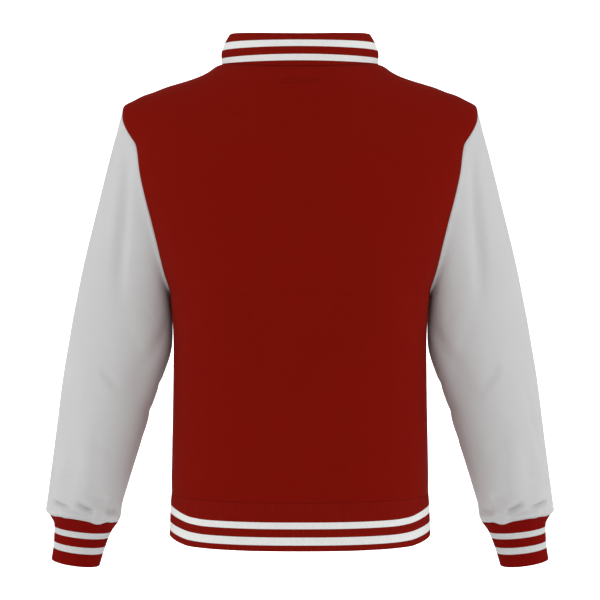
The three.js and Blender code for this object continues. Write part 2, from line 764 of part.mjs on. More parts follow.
function buildJacket() {
  const jacket = new THREE.Group();
  jacket.name = "varsity_jacket";
  const back = backPanel();
  const leftFront = leftFrontPanel();
  const rightFront = rightFrontPanel();
  const sleeve = sleevePanel(back, leftFront);
  const cuff = cuffGeometry();
  const panel = (p, options) => shellGeometry(p.grid, p.inner, options);
  jacket.add(meshOf("back", panel(back, { turnEnds: true }), MATERIALS.body));
  jacket.add(meshOf("front_left", panel(leftFront), MATERIALS.body));
  jacket.add(meshOf("front_right", panel(rightFront), MATERIALS.body));
  jacket.add(meshOf("sleeve_left", panel(sleeve, { closed: true }), MATERIALS.sleeve));
  const otherSleeve = shellGeometry(mirroredGrid(sleeve.grid), mirroredGrid(sleeve.inner), {
    closed: true,
  });
  jacket.add(meshOf("sleeve_right", otherSleeve, MATERIALS.sleeve));
  jacket.add(meshOf("collar", collarGeometry(back, leftFront, rightFront), MATERIALS.rib));
  jacket.add(meshOf("hem_rib", hemGeometry(), MATERIALS.rib));
  jacket.add(meshOf("cuff_left", cuff, MATERIALS.cuffRib));
  jacket.add(meshOf("cuff_right", mirroredGeometry(cuff), MATERIALS.cuffRib));
  SNAP_LEVELS.forEach((level, k) => {
    jacket.add(snapMesh(`snap_${k + 1}`, snapSeat(leftFront, level.z), level.lift));
  });
  const hemDepth = lookUp(CENTRE_LINE, "z", "front", HEM_Z) + HEM_RINGS[1].out;
  const hemSeat = {
    place: new THREE.Vector3(0, -hemDepth, HEM_SNAP_Z),
    out: new THREE.Vector3(0, -1, 0),
  };
  jacket.add(snapMesh(`snap_${SNAP_LEVELS.length + 1}`, hemSeat, SEAM_GAP + HEM_SNAP_LIFT));
  return jacket;
}

export default buildJacket();
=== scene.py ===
import json
import math

import bpy
import numpy as np
from mathutils import Vector
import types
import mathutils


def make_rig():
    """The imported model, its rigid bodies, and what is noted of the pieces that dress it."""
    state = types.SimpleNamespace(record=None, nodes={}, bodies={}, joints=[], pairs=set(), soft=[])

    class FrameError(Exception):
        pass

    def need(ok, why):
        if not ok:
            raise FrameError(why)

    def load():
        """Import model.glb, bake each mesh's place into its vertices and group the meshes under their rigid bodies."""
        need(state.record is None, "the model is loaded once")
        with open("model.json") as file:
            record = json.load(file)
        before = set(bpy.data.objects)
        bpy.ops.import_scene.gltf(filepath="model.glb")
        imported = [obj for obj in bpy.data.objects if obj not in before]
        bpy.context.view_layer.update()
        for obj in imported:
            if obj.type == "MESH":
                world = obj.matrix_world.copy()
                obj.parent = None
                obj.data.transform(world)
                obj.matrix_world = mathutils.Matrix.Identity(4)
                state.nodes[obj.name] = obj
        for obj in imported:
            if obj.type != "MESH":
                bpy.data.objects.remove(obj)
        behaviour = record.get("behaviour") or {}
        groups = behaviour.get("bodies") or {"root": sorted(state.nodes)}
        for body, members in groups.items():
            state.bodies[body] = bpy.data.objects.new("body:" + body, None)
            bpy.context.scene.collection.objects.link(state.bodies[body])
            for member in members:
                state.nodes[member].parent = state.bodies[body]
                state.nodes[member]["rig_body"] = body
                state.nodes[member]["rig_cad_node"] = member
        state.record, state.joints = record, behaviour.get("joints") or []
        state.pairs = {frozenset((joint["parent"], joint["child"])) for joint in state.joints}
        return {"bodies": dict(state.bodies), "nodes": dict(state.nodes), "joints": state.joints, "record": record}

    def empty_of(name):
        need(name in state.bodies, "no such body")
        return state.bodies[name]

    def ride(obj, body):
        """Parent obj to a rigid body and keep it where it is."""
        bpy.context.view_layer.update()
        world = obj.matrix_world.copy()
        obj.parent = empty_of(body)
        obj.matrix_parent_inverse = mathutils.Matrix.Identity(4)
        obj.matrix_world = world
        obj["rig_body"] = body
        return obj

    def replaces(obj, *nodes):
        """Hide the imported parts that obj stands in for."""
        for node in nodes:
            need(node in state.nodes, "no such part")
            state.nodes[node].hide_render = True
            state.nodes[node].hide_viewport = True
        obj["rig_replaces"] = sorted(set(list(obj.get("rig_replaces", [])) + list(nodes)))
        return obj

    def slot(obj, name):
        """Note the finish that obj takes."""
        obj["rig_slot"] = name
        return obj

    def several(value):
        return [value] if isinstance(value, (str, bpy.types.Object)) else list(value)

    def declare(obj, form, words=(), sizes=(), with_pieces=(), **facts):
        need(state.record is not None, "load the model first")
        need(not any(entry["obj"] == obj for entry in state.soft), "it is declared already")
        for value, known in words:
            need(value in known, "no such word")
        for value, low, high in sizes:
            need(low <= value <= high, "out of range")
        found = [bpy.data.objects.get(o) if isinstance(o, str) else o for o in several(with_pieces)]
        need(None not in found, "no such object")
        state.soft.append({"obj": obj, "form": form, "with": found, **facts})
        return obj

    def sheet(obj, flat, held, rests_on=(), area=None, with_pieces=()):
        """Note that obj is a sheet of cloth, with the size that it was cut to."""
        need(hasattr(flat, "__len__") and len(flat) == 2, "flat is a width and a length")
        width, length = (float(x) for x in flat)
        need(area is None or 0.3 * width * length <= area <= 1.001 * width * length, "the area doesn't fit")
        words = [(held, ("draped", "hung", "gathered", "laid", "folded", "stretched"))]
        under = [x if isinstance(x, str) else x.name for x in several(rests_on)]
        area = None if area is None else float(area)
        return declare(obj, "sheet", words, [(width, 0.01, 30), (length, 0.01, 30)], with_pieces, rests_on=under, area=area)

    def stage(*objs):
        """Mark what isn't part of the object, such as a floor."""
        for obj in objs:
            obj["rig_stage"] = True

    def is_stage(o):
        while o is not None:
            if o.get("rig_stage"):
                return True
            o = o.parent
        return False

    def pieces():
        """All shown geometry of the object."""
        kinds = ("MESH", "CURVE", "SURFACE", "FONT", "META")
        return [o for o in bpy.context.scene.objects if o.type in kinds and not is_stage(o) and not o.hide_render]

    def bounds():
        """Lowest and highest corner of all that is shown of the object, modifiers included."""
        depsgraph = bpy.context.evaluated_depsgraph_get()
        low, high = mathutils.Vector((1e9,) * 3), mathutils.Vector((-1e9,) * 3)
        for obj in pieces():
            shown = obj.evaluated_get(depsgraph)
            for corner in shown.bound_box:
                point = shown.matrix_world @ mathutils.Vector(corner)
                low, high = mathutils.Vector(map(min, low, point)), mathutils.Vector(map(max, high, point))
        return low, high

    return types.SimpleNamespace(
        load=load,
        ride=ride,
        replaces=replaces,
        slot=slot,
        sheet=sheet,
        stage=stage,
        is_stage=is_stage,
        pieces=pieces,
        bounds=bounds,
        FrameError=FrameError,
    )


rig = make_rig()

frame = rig.load()
cad_box = [[float(c) for c in corner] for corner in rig.bounds()]


def table(names, rows):
    """Rows of numbers as dictionaries under the same names."""
    return [dict(zip(names.split(), row)) for row in rows]


# Sizes in millimetres, as in the solids; meshes are written in metres.
MM = 0.001
WALL = 2.0
RIB_WALL = 3.0
SEAM_GAP = 0.02
LAP = RIB_WALL + 0.4
LAP_HALF_WIDTH = 15.0
LAP_RAMP_END = 18.0
ARM_MID_Z = -185.0
ARM_HALF_HEIGHT = 124.0
UNDERARM_Z = -309.0
TIP_X = 245.0
POWER = 2.5
NECK_HALF_WIDTH = 107.0
NECK_ROLL_START = math.radians(35)
COLLAR_HALF_GAP = 1.0

HALVES = {
    "back": dict(sign=1, arm_depth=60, inset=5, neck_depth=72, neck_z=-3, neck_power=2.0),
    "front": dict(sign=-1, arm_depth=66, inset=15, neck_depth=68, neck_z=-85, neck_power=1.8),
}

SIDE_LINE = dict(
    z=[-582, -530, -475, -420, -375, -345, -325, -316, -309],
    x=[177, 176.4, 175.2, 174.4, 174.2, 175, 176.3, 177, 178],
)
CENTRE_LINE = dict(
    z=[-582, -480, -400, -309, -240, -185],
    back=[122, 119, 118, 121, 124, 124],
    front=[125, 123, 124, 127, 127, 122],
    power=[2.5, 2.5, 2.56, 2.9, 2.65, 2.5],
)
ARMHOLE_LINE = dict(
    z=[-309, -276, -243, -210, -177, -143, -108, -94, -83, -72, -61],
    x=[178, 189.5, 197.6, 205.7, 214.3, 221.5, 226, 234.3, 240.4, 244.2, 245],
)
SHOULDER_LINE = dict(
    x=[107, 117, 122, 132, 146, 167, 185, 200, 215, 227, 237, 242.5, 245],
    z=[5, 1, -4, -9.5, -15, -21.5, -27, -33, -38, -44, -49, -53, -61],
)
# Rings of the sleeve after its first one, which follows the armhole
SLEEVE_RINGS = dict(
    out_x=[249, 255, 260.5, 267.5, 274.5, 283, 291.7, 299.8, 307.3, 314.8, 321.3, 327.5, 332.5,
           336.8, 341.1, 345.4, 349, 351.6, 352.6, 348.2],
    out_z=[-76, -94, -114, -138, -166, -198, -232, -268, -306, -343, -380, -416, -451,
           -485, -519, -551, -578, -598, -609.5, -619.5],
    in_x=[179.9, 180.2, 178.8, 177.4, 176.4, 175.8, 175.7, 177, 181, 187.5, 195, 203, 210,
          217.5, 226, 234.5, 241.7, 247.5, 249.3, 252.6],
    in_z=[-309.6, -314, -321.5, -331, -342, -354, -367, -381, -398, -417, -437, -459, -482,
          -507, -533, -560, -584, -604, -617, -628.8],
    depth=[62, 63, 64, 65, 65, 65, 64.5, 64, 62.5, 61, 59.5, 58, 56, 54, 52, 50, 48.5, 48,
           47.5, 44],
    mid_y=[-4, -6, -8, -11, -14, -16, -17.5, -18.5, -19, -19, -19, -18.5, -18, -18, -17, -16,
           -15, -15, -15, -15],
    follow=[0.9, 0.75, 0.55, 0.35, 0.2, 0.1] + [0] * 14,
)
# Creases down the body from each armhole: distance from the centre line at a height, how far
# it moves per millimetre of height, half width, the height of its middle, half length, depth
BODY_CREASES = [
    dict(reach=150, at_z=-330, slope=0.35, width=13, middle=-350, length=60, depth=1.5),
    dict(reach=186, at_z=-230, slope=-0.28, width=10, middle=-225, length=55, depth=1.2),
]
SWELL_HEIGHT = 0.9
HEM_BLOUSE = dict(z=-560, width=13, height=0.7)
SLEEVE_SMOOTHING = 60  # passes over the rings below the armhole
# Share of the swells and creases in the columns and rows next to a seam
EDGE_CALM = [0, 0, 0, 0.3, 0.7]
# Folds of a sleeve: degrees round it from the outer edge over the back, spread in degrees,
# the ring where each starts and ends, depth in millimetres, and how far it turns on its way
SLEEVE_FOLDS = table("angle spread start end depth turn", [
    (66, 9, 0.3, 8.6, 8, 40),
    (-68, 13, 0.6, 9, 4.5, -20),
    (128, 18, 9, 13, 3, 0),
    (-118, 18, 8, 13, 3.5, 0),
    (62, 14, 12.5, 19, 2.6, 26),
    (-100, 15, 13, 19, 2.5, 0),
    (142, 9, 5.5, 11, 2.4, -34),
    (44, 7, 11, 16.5, 1.6, -26),
    (100, 9, 13.5, 18, 1.3, 26),
    (-60, 7, 10, 15, 1.8, 24),
    (-140, 8, 5, 10, 2.2, 30),
])
# Creases across a sleeve: ring and degrees of the middle of each, rings that it climbs in
# 100 degrees, half its length in degrees, half its width in rings, depth (less than 0: a ridge)
SLEEVE_CREASES = table("ring angle climb reach width depth", [
    (11.45, 92, 1.9, 12, 0.24, 2.5),
    (11.95, 92, 1.7, 14, 0.32, -1.2),
    (9.2, 110, 2.9, 12, 0.34, 0.8),
    (10.3, 78, 0.6, 11, 0.4, 0.8),
    (7.2, 120, 1.4, 11, 0.3, 0.7),
    (13.4, 66, -1.6, 15, 0.34, 1.1),
    (14.7, 104, 1.3, 14, 0.3, 1.2),
    (15.3, 92, 0.8, 19, 0.4, -1.1),
    (16.3, 60, -0.9, 15, 0.26, 1.3),
    (17.2, 112, 0.8, 17, 0.26, 1.5),
    (11.2, -92, -1.5, 20, 0.24, 2.0),
    (11.7, -94, -1.2, 22, 0.32, -1.4),
    (9.0, -110, -2.2, 13, 0.32, 1.2),
    (13.4, -70, 1.2, 16, 0.3, 1.2),
    (15.2, -104, -1.0, 18, 0.3, 1.4),
    (12.6, 172, 0.4, 24, 0.32, 1.6),
    (10.9, -170, -0.5, 20, 0.3, 1.3),
    (14.2, -164, 0.7, 18, 0.3, 1.4),
])
# Puckers just above the cuff, stated as the creases are
CUFF_PUCKERS = table("ring angle climb reach width depth", [
    (18.1, 97, 2.6, 13, 0.2, 7.0),
    (17.95, 53, 1.2, 15, 0.17, 6.5),
    (18.75, 76, 0.8, 17, 0.24, -4.5),
    (18.5, 122, -0.8, 13, 0.36, -2.0),
    (17.6, 118, -1.2, 10, 0.34, 1.8),
    (18.3, 146, -1.0, 12, 0.3, 2.4),
    (17.9, -48, -1.8, 14, 0.2, 5.0),
    (18.8, -70, -1.2, 18, 0.3, -2.8),
    (18.15, -92, -2.4, 13, 0.21, 6.0),
    (18.5, -120, 0.8, 13, 0.36, -2.0),
    (18.2, -142, 1.0, 13, 0.26, 3.2),
])
# The cuff seam's course: degrees round the sleeve, millimetres that it lies above its ring
CUFF_SEAM = dict(
    angle=[0, 30, 64, 90, 120, 139, 160, 180, 208, 238, 265, 300, 334, 360],
    rise=[1.5, 3.6, 5.0, 4.7, 0.3, 3.0, 1.6, 1.2, 0.3, 3.8, 4.6, 2.6, 0.4, 1.5],
)
CUFF_RINGS = dict(
    share=[0, 0.19, 0.6, 1],
    out_x=[348.2, 342, 342.8, 346.3],
    out_z=[-619.52, -631, -656, -680],
    in_x=[252.6, 262.5, 272.5, 279.5],
    in_z=[-628.82, -641.5, -667, -690],
    depth=[44, 36, 33.5, 32],
)
CUFF_MID_Y = -15.0
HEM_PROFILE = dict(share=[0, 0.465, 1], z=[-582.02, -612, -646], out=[0, 1.8, 3.2])
COLLAR_PROFILE = dict(
    share=[0, 0.29, 0.55, 0.8, 1],
    up=[0, 13, 24, 34, 40.3],
    lean=[0, -1, 2, 7, 11],
)
COLLAR_SCALE = dict(side=(1.0, 1.0), back=(1.12, 0.75), front=(1.1, 1.25))

# Where the colour of each rib changes, as shares of its depth from the seam
CUFF_STRIPES = [0.222, 0.354, 0.557, 0.705]
HEM_STRIPES = [0.395, 0.53, 0.704, 0.869]
COLLAR_STRIPES = [0.145, 0.317, 0.542, 0.734]
# How far the pull at the sides of the body draws the stripes off their even course
HEM_SIDE_RISE = 0.055
COLLAR_SIDE_DIP = 0.17
CUFF_TILT = 0.035
# How far the hem band is drawn up at the very side, in millimetres
HEM_SIDE_LIFT = dict(share=[0, 0.395, 0.53, 0.704, 0.869, 1], up=[0, 7, 4.8, 4, 4.8, 5.5])

RIB_PITCH = 3.0
RIB_RELIEF = 0.45
RIB_WAVE = [0.0, 0.5, 1.0, 0.5]
SEAM_TUCK = [1.0, 0.45, 0.12]

# Radius and height above its seat of a snap cap, from the seat round the rim to the middle
SNAP_PROFILE = [
    (0.0, 0.0), (6.9, 0.0), (7.4, 0.35), (7.5, 0.9), (7.35, 1.5), (6.9, 1.95), (6.3, 2.2),
    (5.9, 2.2), (5.5, 2.12), (4.9, 2.3), (3.8, 2.62), (2.4, 2.86), (1.0, 2.97), (0.0, 3.0),
]
SNAP_COUNT = 6
# Depths of the ribs from seam to fold, and the cuff's mean radius for its number of ribs
COLLAR_DEPTH = 45.0
HEM_DEPTH = 63.7
CUFF_DEPTH = 60.0
CUFF_RADIUS = 36
# The stitched bar at the middle of the back, under the collar; its darkened thread is painted shade
BAR_HALF_WIDTH = 24.5
BAR_Z = (-21.5, -26.5)
STITCH_INSET = 4.0
LAP_STITCH_INSET = 5.0

SRGB = dict(
    body=(124, 16, 6),
    sleeve=(208, 208, 208),
    rib=(126, 17, 7),
    cuff=(124, 9, 4),
    stripe=(238, 239, 237),
    # the cuffs' stripe: the stripe colour darkened, painted shade on the cuffs, which hang lowest
    cuff_stripe_painted_shade=(213, 215, 214),
    snap=(212, 213, 212),
    floor=(250, 250, 250),
)


def linear(name, factor=1.0):
    """A colour of the table as linear light, brightened or darkened by a factor."""
    values = []
    for c in SRGB[name]:
        c = c / 255 * factor
        values.append(c / 12.92 if c <= 0.04045 else ((c + 0.055) / 1.055) ** 2.4)
    return (*values, 1.0)


def look_up(keys, values, at):
    """A smooth value between table rows that never overshoots them."""
    order = np.argsort(keys)
    k = np.asarray(keys, float)[order]
    v = np.asarray(values, float)[order]
    at = np.clip(np.asarray(at, float), k[0], k[-1])
    step = np.diff(k)
    slope = np.diff(v) / step
    tangent = np.zeros(len(k))
    tangent[0], tangent[-1] = slope[0], slope[-1]
    a, b = slope[:-1], slope[1:]
    same = a * b > 0
    tangent[1:-1][same] = 2 * a[same] * b[same] / (a[same] + b[same])
    i = np.clip(np.searchsorted(k, at, side="right") - 1, 0, len(k) - 2)
    t = (at - k[i]) / step[i]
    t2, t3 = t * t, t * t * t
    return (
        (2 * t3 - 3 * t2 + 1) * v[i]
        + (t3 - 2 * t2 + t) * tangent[i] * step[i]
        + (3 * t2 - 2 * t3) * v[i + 1]
        + (t3 - t2) * tangent[i + 1] * step[i]
    )


def smooth_step(start, end, at):
    t = np.clip((at - start) / (end - start), 0, 1)
    return t * t * (3 - 2 * t)


def unit(v):
    return v / np.maximum(np.linalg.norm(v, axis=-1, keepdims=True), 1e-12)


def grid_normals(grid, closed=False):
    """Unit normals of a grid of points, from the points on both sides of each."""
    if closed:
        along = np.roll(grid, -1, 1) - np.roll(grid, 1, 1)
    else:
        padded = np.concatenate([grid[:, :1], grid, grid[:, -1:]], 1)
        along = padded[:, 2:] - padded[:, :-2]
    tall = np.concatenate([grid[:1], grid, grid[-1:]], 0)
    across = tall[2:] - tall[:-2]
    return unit(np.cross(along, across))


# The body


def armhole_point(half, angle):
    """The armhole at an angle from the shoulder tip, pi being the underarm."""
    z = ARM_MID_Z + ARM_HALF_HEIGHT * np.cos(angle)
    x = look_up(ARMHOLE_LINE["z"], ARMHOLE_LINE["x"], z) - half["inset"] * np.sin(angle)
    y = np.maximum(SEAM_GAP / 2, half["arm_depth"] * np.sin(angle))
    return x, y, z


def edge_angle(centre_depth, edge_depth, power):
    return math.acos(min(1.0, (edge_depth / centre_depth) ** (power / 2)))


def neck_bow(x):
    """1 at the centre line and 0 at the neck points."""
    return np.sqrt(np.maximum(0, 1 - (x / NECK_HALF_WIDTH) ** 2))


def top_line(half, x):
    """Height and depth of the neck and shoulder line, and where the cloth starts to roll."""
    reach = np.abs(x)
    bow = neck_bow(reach)
    neck = reach < NECK_HALF_WIDTH - 0.01
    rise = SHOULDER_LINE["z"][0] - half["neck_z"]
    shoulder_z = look_up(SHOULDER_LINE["x"], SHOULDER_LINE["z"], reach)
    z = np.where(neck, SHOULDER_LINE["z"][0] - rise * bow ** half["neck_power"], shoulder_z)
    y = np.where(neck, np.maximum(SEAM_GAP / 2, half["neck_depth"] * bow), SEAM_GAP / 2)
    return z, y, np.where(neck, NECK_ROLL_START * bow, 0.0)


def body_row(half_name, row, columns):
    """Outer points of one row. A column is a turn towards the side or a fixed place in X."""
    half = HALVES[half_name]
    z, angle, level = row
    middle_y = half["arm_depth"]
    mid_depth = float(look_up(CENTRE_LINE["z"], CENTRE_LINE[half_name], ARM_MID_Z))
    mid_angle = edge_angle(mid_depth, middle_y, POWER)
    upper = angle < math.pi / 2 - 0.001
    power = POWER if upper else float(look_up(CENTRE_LINE["z"], CENTRE_LINE["power"], z))
    depth = mid_depth if upper else float(look_up(CENTRE_LINE["z"], CENTRE_LINE[half_name], z))
    edge_x, edge_y, _ = armhole_point(half, angle)
    if level:
        edge_x = look_up(SIDE_LINE["z"], SIDE_LINE["x"], z)
    edge_x, edge_y = float(edge_x), float(middle_y if upper else edge_y)
    limit = mid_angle if upper else edge_angle(depth, edge_y, power)
    turn, fixed_x, fixed = columns["turn"], columns["x"], columns["fixed"]
    share_of = lambda top, p: (np.sin(np.abs(turn) * top) / math.sin(top)) ** (2 / p)
    x = np.where(fixed, fixed_x, edge_x * share_of(limit, power) * columns["side"])
    share = np.minimum(1, np.abs(x) / edge_x)
    squeeze = math.sin(limit) ** (2 / power)
    bulge = np.maximum(0, 1 - (share * squeeze) ** power) ** (1 / power)
    full = np.maximum(edge_y, depth * bulge)
    if not upper:
        return np.stack([x, half["sign"] * full, np.full_like(x, z)], 1)
    top_x = np.where(fixed, fixed_x, TIP_X * share_of(mid_angle, POWER) * columns["side"])
    top_z, top_y, start = top_line(half, top_x)
    roll = start + (math.pi / 2 - start) * (angle / (math.pi / 2))
    drop = (top_z - ARM_MID_Z) * (np.cos(start) - np.cos(roll)) / np.cos(start)
    out = (full - top_y) * (np.sin(roll) - np.sin(start)) / (1 - np.sin(start))
    return np.stack([x, half["sign"] * (top_y + out), top_z - drop], 1)


def body_rows():
    """(height, angle, level) of each row, closer together near the seams."""
    level = [-582, -580.8, -578.5, -575]
    level += list(np.arange(-569, UNDERARM_Z - 2, 6.5))
    rows = [(z, math.pi, True) for z in level]
    angles = list(np.linspace(math.pi, math.pi / 2, 29))
    angles += list(np.linspace(math.pi / 2, 0.16, 30)[1:])
    angles += [0.11, 0.065, 0.032, 0.012, 0.0]
    rows += [(ARM_MID_Z + ARM_HALF_HEIGHT * math.cos(a), a, False) for a in angles]
    return rows, len(level)


def turns(half_name):
    """Turns of the columns from the centre line to the side, with the neck point among them."""
    half = HALVES[half_name]
    depth = float(look_up(CENTRE_LINE["z"], CENTRE_LINE[half_name], ARM_MID_Z))
    top = edge_angle(depth, half["arm_depth"], POWER)
    limit = math.sin(top)
    turn_of = lambda share: math.asin(limit * share ** (POWER / 2)) / top
    neck_share = NECK_HALF_WIDTH / TIP_X
    neck = [turn_of(neck_share * math.sin(math.pi / 2 * k / 20)) for k in range(21)]
    rest = list(np.linspace(neck[-1], 0.965, 34)[1:]) + [0.985, 0.9945, 1.0]
    return neck + rest


def columns_of(half_name, kind):
    """Columns of the back (both sides), or of one front with its part of the lap."""
    all_turns = turns(half_name)
    sided = lambda side, values: [(t, 0.0, False, side) for t in values]
    if kind == "back":
        items = sided(-1, all_turns[1:][::-1]) + sided(1, all_turns)
    elif kind == "left":
        lap = [-15, -14, -12.5, -9, -4, -COLLAR_HALF_GAP, COLLAR_HALF_GAP]
        items = [(0.0, x, True, 1) for x in lap] + sided(1, all_turns[2:])
    else:
        lap = [-25, -21.5, -LAP_RAMP_END, -12, -COLLAR_HALF_GAP, 6, 12.5, 14, LAP_HALF_WIDTH]
        items = sided(-1, all_turns[5:][::-1]) + [(0.0, x, True, 1) for x in lap]
    return dict(
        turn=np.array([i[0] for i in items]),
        x=np.array([i[1] for i in items], float),
        fixed=np.array([i[2] for i in items]),
        side=np.array([i[3] for i in items], float),
    )


def body_grid(half_name, columns):
    """Every row of a panel, from the hem seam up to the neck and shoulder seam."""
    rows, _ = body_rows()
    return np.array([body_row(half_name, row, columns) for row in rows])


def panel_normals(grid, sign, side_ends):
    """Normals that point out, level or square to the seam plane along the seams."""
    _, level_count = body_rows()
    normals = grid_normals(grid)
    if normals[2, grid.shape[1] // 2, 1] * sign < 0:
        normals = -normals
    normals[0, :, 2] = 0
    for j in side_ends:
        normals[: level_count + 1, j, 1] = 0
    shoulder = np.abs(grid[-1, :, 0]) >= NECK_HALF_WIDTH - 0.01
    normals[-1, shoulder, 1] = 0
    return unit(normals)


def tucked(grid, normals, ends, rows):
    """Outer points drawn in a little along the seams, where the edge of the cloth turns in."""
    depth = np.zeros(grid.shape[:2])
    for k, amount in enumerate(SEAM_TUCK):
        for j in ends:
            column = k if j == 0 else grid.shape[1] - 1 - k
            depth[:, column] = np.maximum(depth[:, column], amount)
        for i, share in rows:
            row = k if i == 0 else grid.shape[0] - 1 - k
            depth[row] = np.maximum(depth[row], amount * share)
    return grid - normals * depth[..., None]


def ripple(grid, normals, sign):
    """The body's long soft swells and faint creases from the armholes, in millimetres."""
    x, z = grid[..., 0], grid[..., 2]
    reach = np.abs(x)
    away = np.clip((z + 582) / 40, 0, 1) * np.clip((-40 - z) / 60, 0, 1)
    fade = np.clip(1 - (reach - 60) / 110, 0, 1)
    form = SWELL_HEIGHT * np.sin(x / 47 + 0.7 + z / 260) * np.sin(z / 150 + 1.1) * fade
    for c in BODY_CREASES:
        across = (reach - c["reach"] + (z - c["at_z"]) * c["slope"]) / c["width"]
        along = (z - c["middle"]) / c["length"]
        form = form - c["depth"] * np.exp(-(across**2)) * np.exp(-(along**2))
    low = np.exp(-(((z - HEM_BLOUSE["z"]) / HEM_BLOUSE["width"]) ** 2))
    move = away * form + HEM_BLOUSE["height"] * low * (0.5 + 0.5 * np.sin(x / 23 + sign))
    if sign < 0:
        move *= smooth_step(2 * LAP_HALF_WIDTH, 80, reach)
    edge = np.ones(grid.shape[:2])
    for k, weight in enumerate(EDGE_CALM):
        edge[k] *= weight
        edge[-1 - k] *= weight
        edge[:, k] *= weight
        edge[:, -1 - k] *= weight
    return grid + normals * (move * edge)[..., None]


def softened(grid, reach=16.0):
    """Rows evened out along X below the neck and shoulder seam, where the sections change."""
    result = grid.copy()
    _, level_count = body_rows()
    for i in range(level_count, len(grid) - 1):
        fall = np.linalg.norm(grid[-1] - grid[i], axis=1)
        width = 4 + reach * smooth_step(0, 40, fall)
        x = grid[i, :, 0]
        gap = np.gradient(x)
        near = np.exp(-((x[None, :] - x[:, None]) ** 2) / (2 * width[:, None] ** 2)) * np.abs(gap)
        away = x[None, :] - x[:, None]
        total, first, second = near.sum(1), (near * away).sum(1), (near * away * away).sum(1)
        spread = total * second - first**2
        amount = smooth_step(0, 45, np.minimum(x - x[0], x[-1] - x)) * smooth_step(1, 14, fall)
        for k in (1, 2):
            value = grid[i, :, k][None, :]
            mean = (second * (near * value).sum(1) - first * (near * away * value).sum(1)) / spread
            result[i, :, k] += (mean - grid[i, :, k]) * amount
    return result


def eased(grid, reach=16.0):
    """Columns evened out along Z round the underarm, where the side opens into the armhole."""
    result = grid.copy()
    z = grid[:, 0, 2]
    flat = np.flatnonzero(z < ARM_MID_Z - 0.5)
    gap = np.abs(np.gradient(z[flat]))
    side = np.abs(grid[:, :, 0]).max(1)
    for i in flat:
        amount = 1 - smooth_step(45, 100, abs(z[i] - UNDERARM_Z))
        if amount <= 0:
            continue
        near = np.exp(-(((z[flat] - z[i]) / reach) ** 2) / 2) * gap
        mean = (grid[flat] * near[:, None, None]).sum(0) / near.sum()
        inside = smooth_step(2, 26, side[i] - np.abs(grid[i, :, 0]))
        result[i, :, :2] += (mean[:, :2] - grid[i, :, :2]) * (amount * inside)[:, None]
    return result


def make_panel(half_name, kind):
    """The back or one front: its grid, and the outer and inner points of its wall."""
    sign = HALVES[half_name]["sign"]
    grid = eased(softened(body_grid(half_name, columns_of(half_name, kind))))
    ends = {"back": [0, -1], "left": [-1], "right": [0]}[kind]
    normals = panel_normals(grid, sign, ends)
    base, base_normals = grid, normals
    if kind == "right":
        under = smooth_step(-2 * LAP_HALF_WIDTH, -LAP_RAMP_END, grid[..., 0])
        under[grid[..., 0] > -LAP_RAMP_END] = 1
        grid = grid - normals * (LAP * under)[..., None]
        normals = panel_normals(grid, sign, ends)
    inner = grid - normals * WALL
    outer = tucked(ripple(grid, normals, sign), normals, [0, -1], [(0, 0.4), (-1, 1)])
    neck = np.abs(grid[-1, :, 0]) < NECK_HALF_WIDTH
    outer[-1, neck, 2] = grid[-1, neck, 2] + 0.2
    return dict(
        grid=grid, normals=normals, outer=outer, inner=inner, base=base, base_normals=base_normals
    )


def edge_frames(points, normals, beyond):
    """The way on past an edge: square to the edge and to the cloth."""
    before = np.concatenate([points[:1], points[:-1]])
    after = np.concatenate([points[1:], points[-1:]])
    away = unit(np.cross(unit(after - before), normals))
    flip = (away * beyond).sum(1) < 0
    away[flip] = -away[flip]
    return away


def joined(a, b):
    """The one place where the edges of two panels meet on the seam between them."""
    flat = np.array([1.0, 0.0, 1.0])
    return (a[0] + b[0]) / 2, unit((a[1] + b[1]) * flat), unit((a[2] + b[2]) * flat)


def arm_edge(panel):
    _, level_count = body_rows()
    points = panel["grid"][level_count:, -1][::-1]
    normals = panel["normals"][level_count:, -1][::-1]
    beyond = points - panel["grid"][level_count:, -2][::-1]
    return list(zip(points, normals, edge_frames(points, normals, beyond)))


def neck_edge(grid, normals):
    part = np.abs(grid[-1, :, 0]) <= NECK_HALF_WIDTH + 0.01
    points, n = grid[-1, part], normals[-1, part]
    return list(zip(points, n, edge_frames(points, n, points - grid[-3, part])))


# The sleeve


def sleeve_ring_values(at):
    """Ring values at a ring number, 0 being the armhole."""
    first = dict(out_x=TIP_X, out_z=-61, in_x=178.7, in_z=-308.8, depth=60, mid_y=0, follow=1)
    numbers = range(len(SLEEVE_RINGS["depth"]) + 1)
    return {k: look_up(numbers, [first[k]] + SLEEVE_RINGS[k], at) for k in first}


def ring_points(values, mid_y, angle):
    reach = (1 + np.cos(angle)) / 2
    x = values["in_x"] + (values["out_x"] - values["in_x"]) * reach
    z = values["in_z"] + (values["out_z"] - values["in_z"]) * reach
    return np.stack([x, mid_y + values["depth"] * np.sin(angle), z], -1)


def ring_axis(values):
    axis = np.array([values["out_z"] - values["in_z"], 0.0, values["in_x"] - values["out_x"]])
    return axis / np.linalg.norm(axis)


def sleeve_fold_depth(number, degrees):
    """Depth of the long folds at one ring."""
    total = np.zeros_like(degrees)
    for fold in SLEEVE_FOLDS:
        share = (number - fold["start"]) / (fold["end"] - fold["start"])
        if not 0 < share < 1:
            continue
        away = (degrees - fold["angle"] - fold["turn"] * (share - 0.5) + 540) % 360 - 180
        across = np.exp(-((away / fold["spread"]) ** 2))
        total += fold["depth"] * across * math.sin(math.pi * share) ** 1.5
    return total


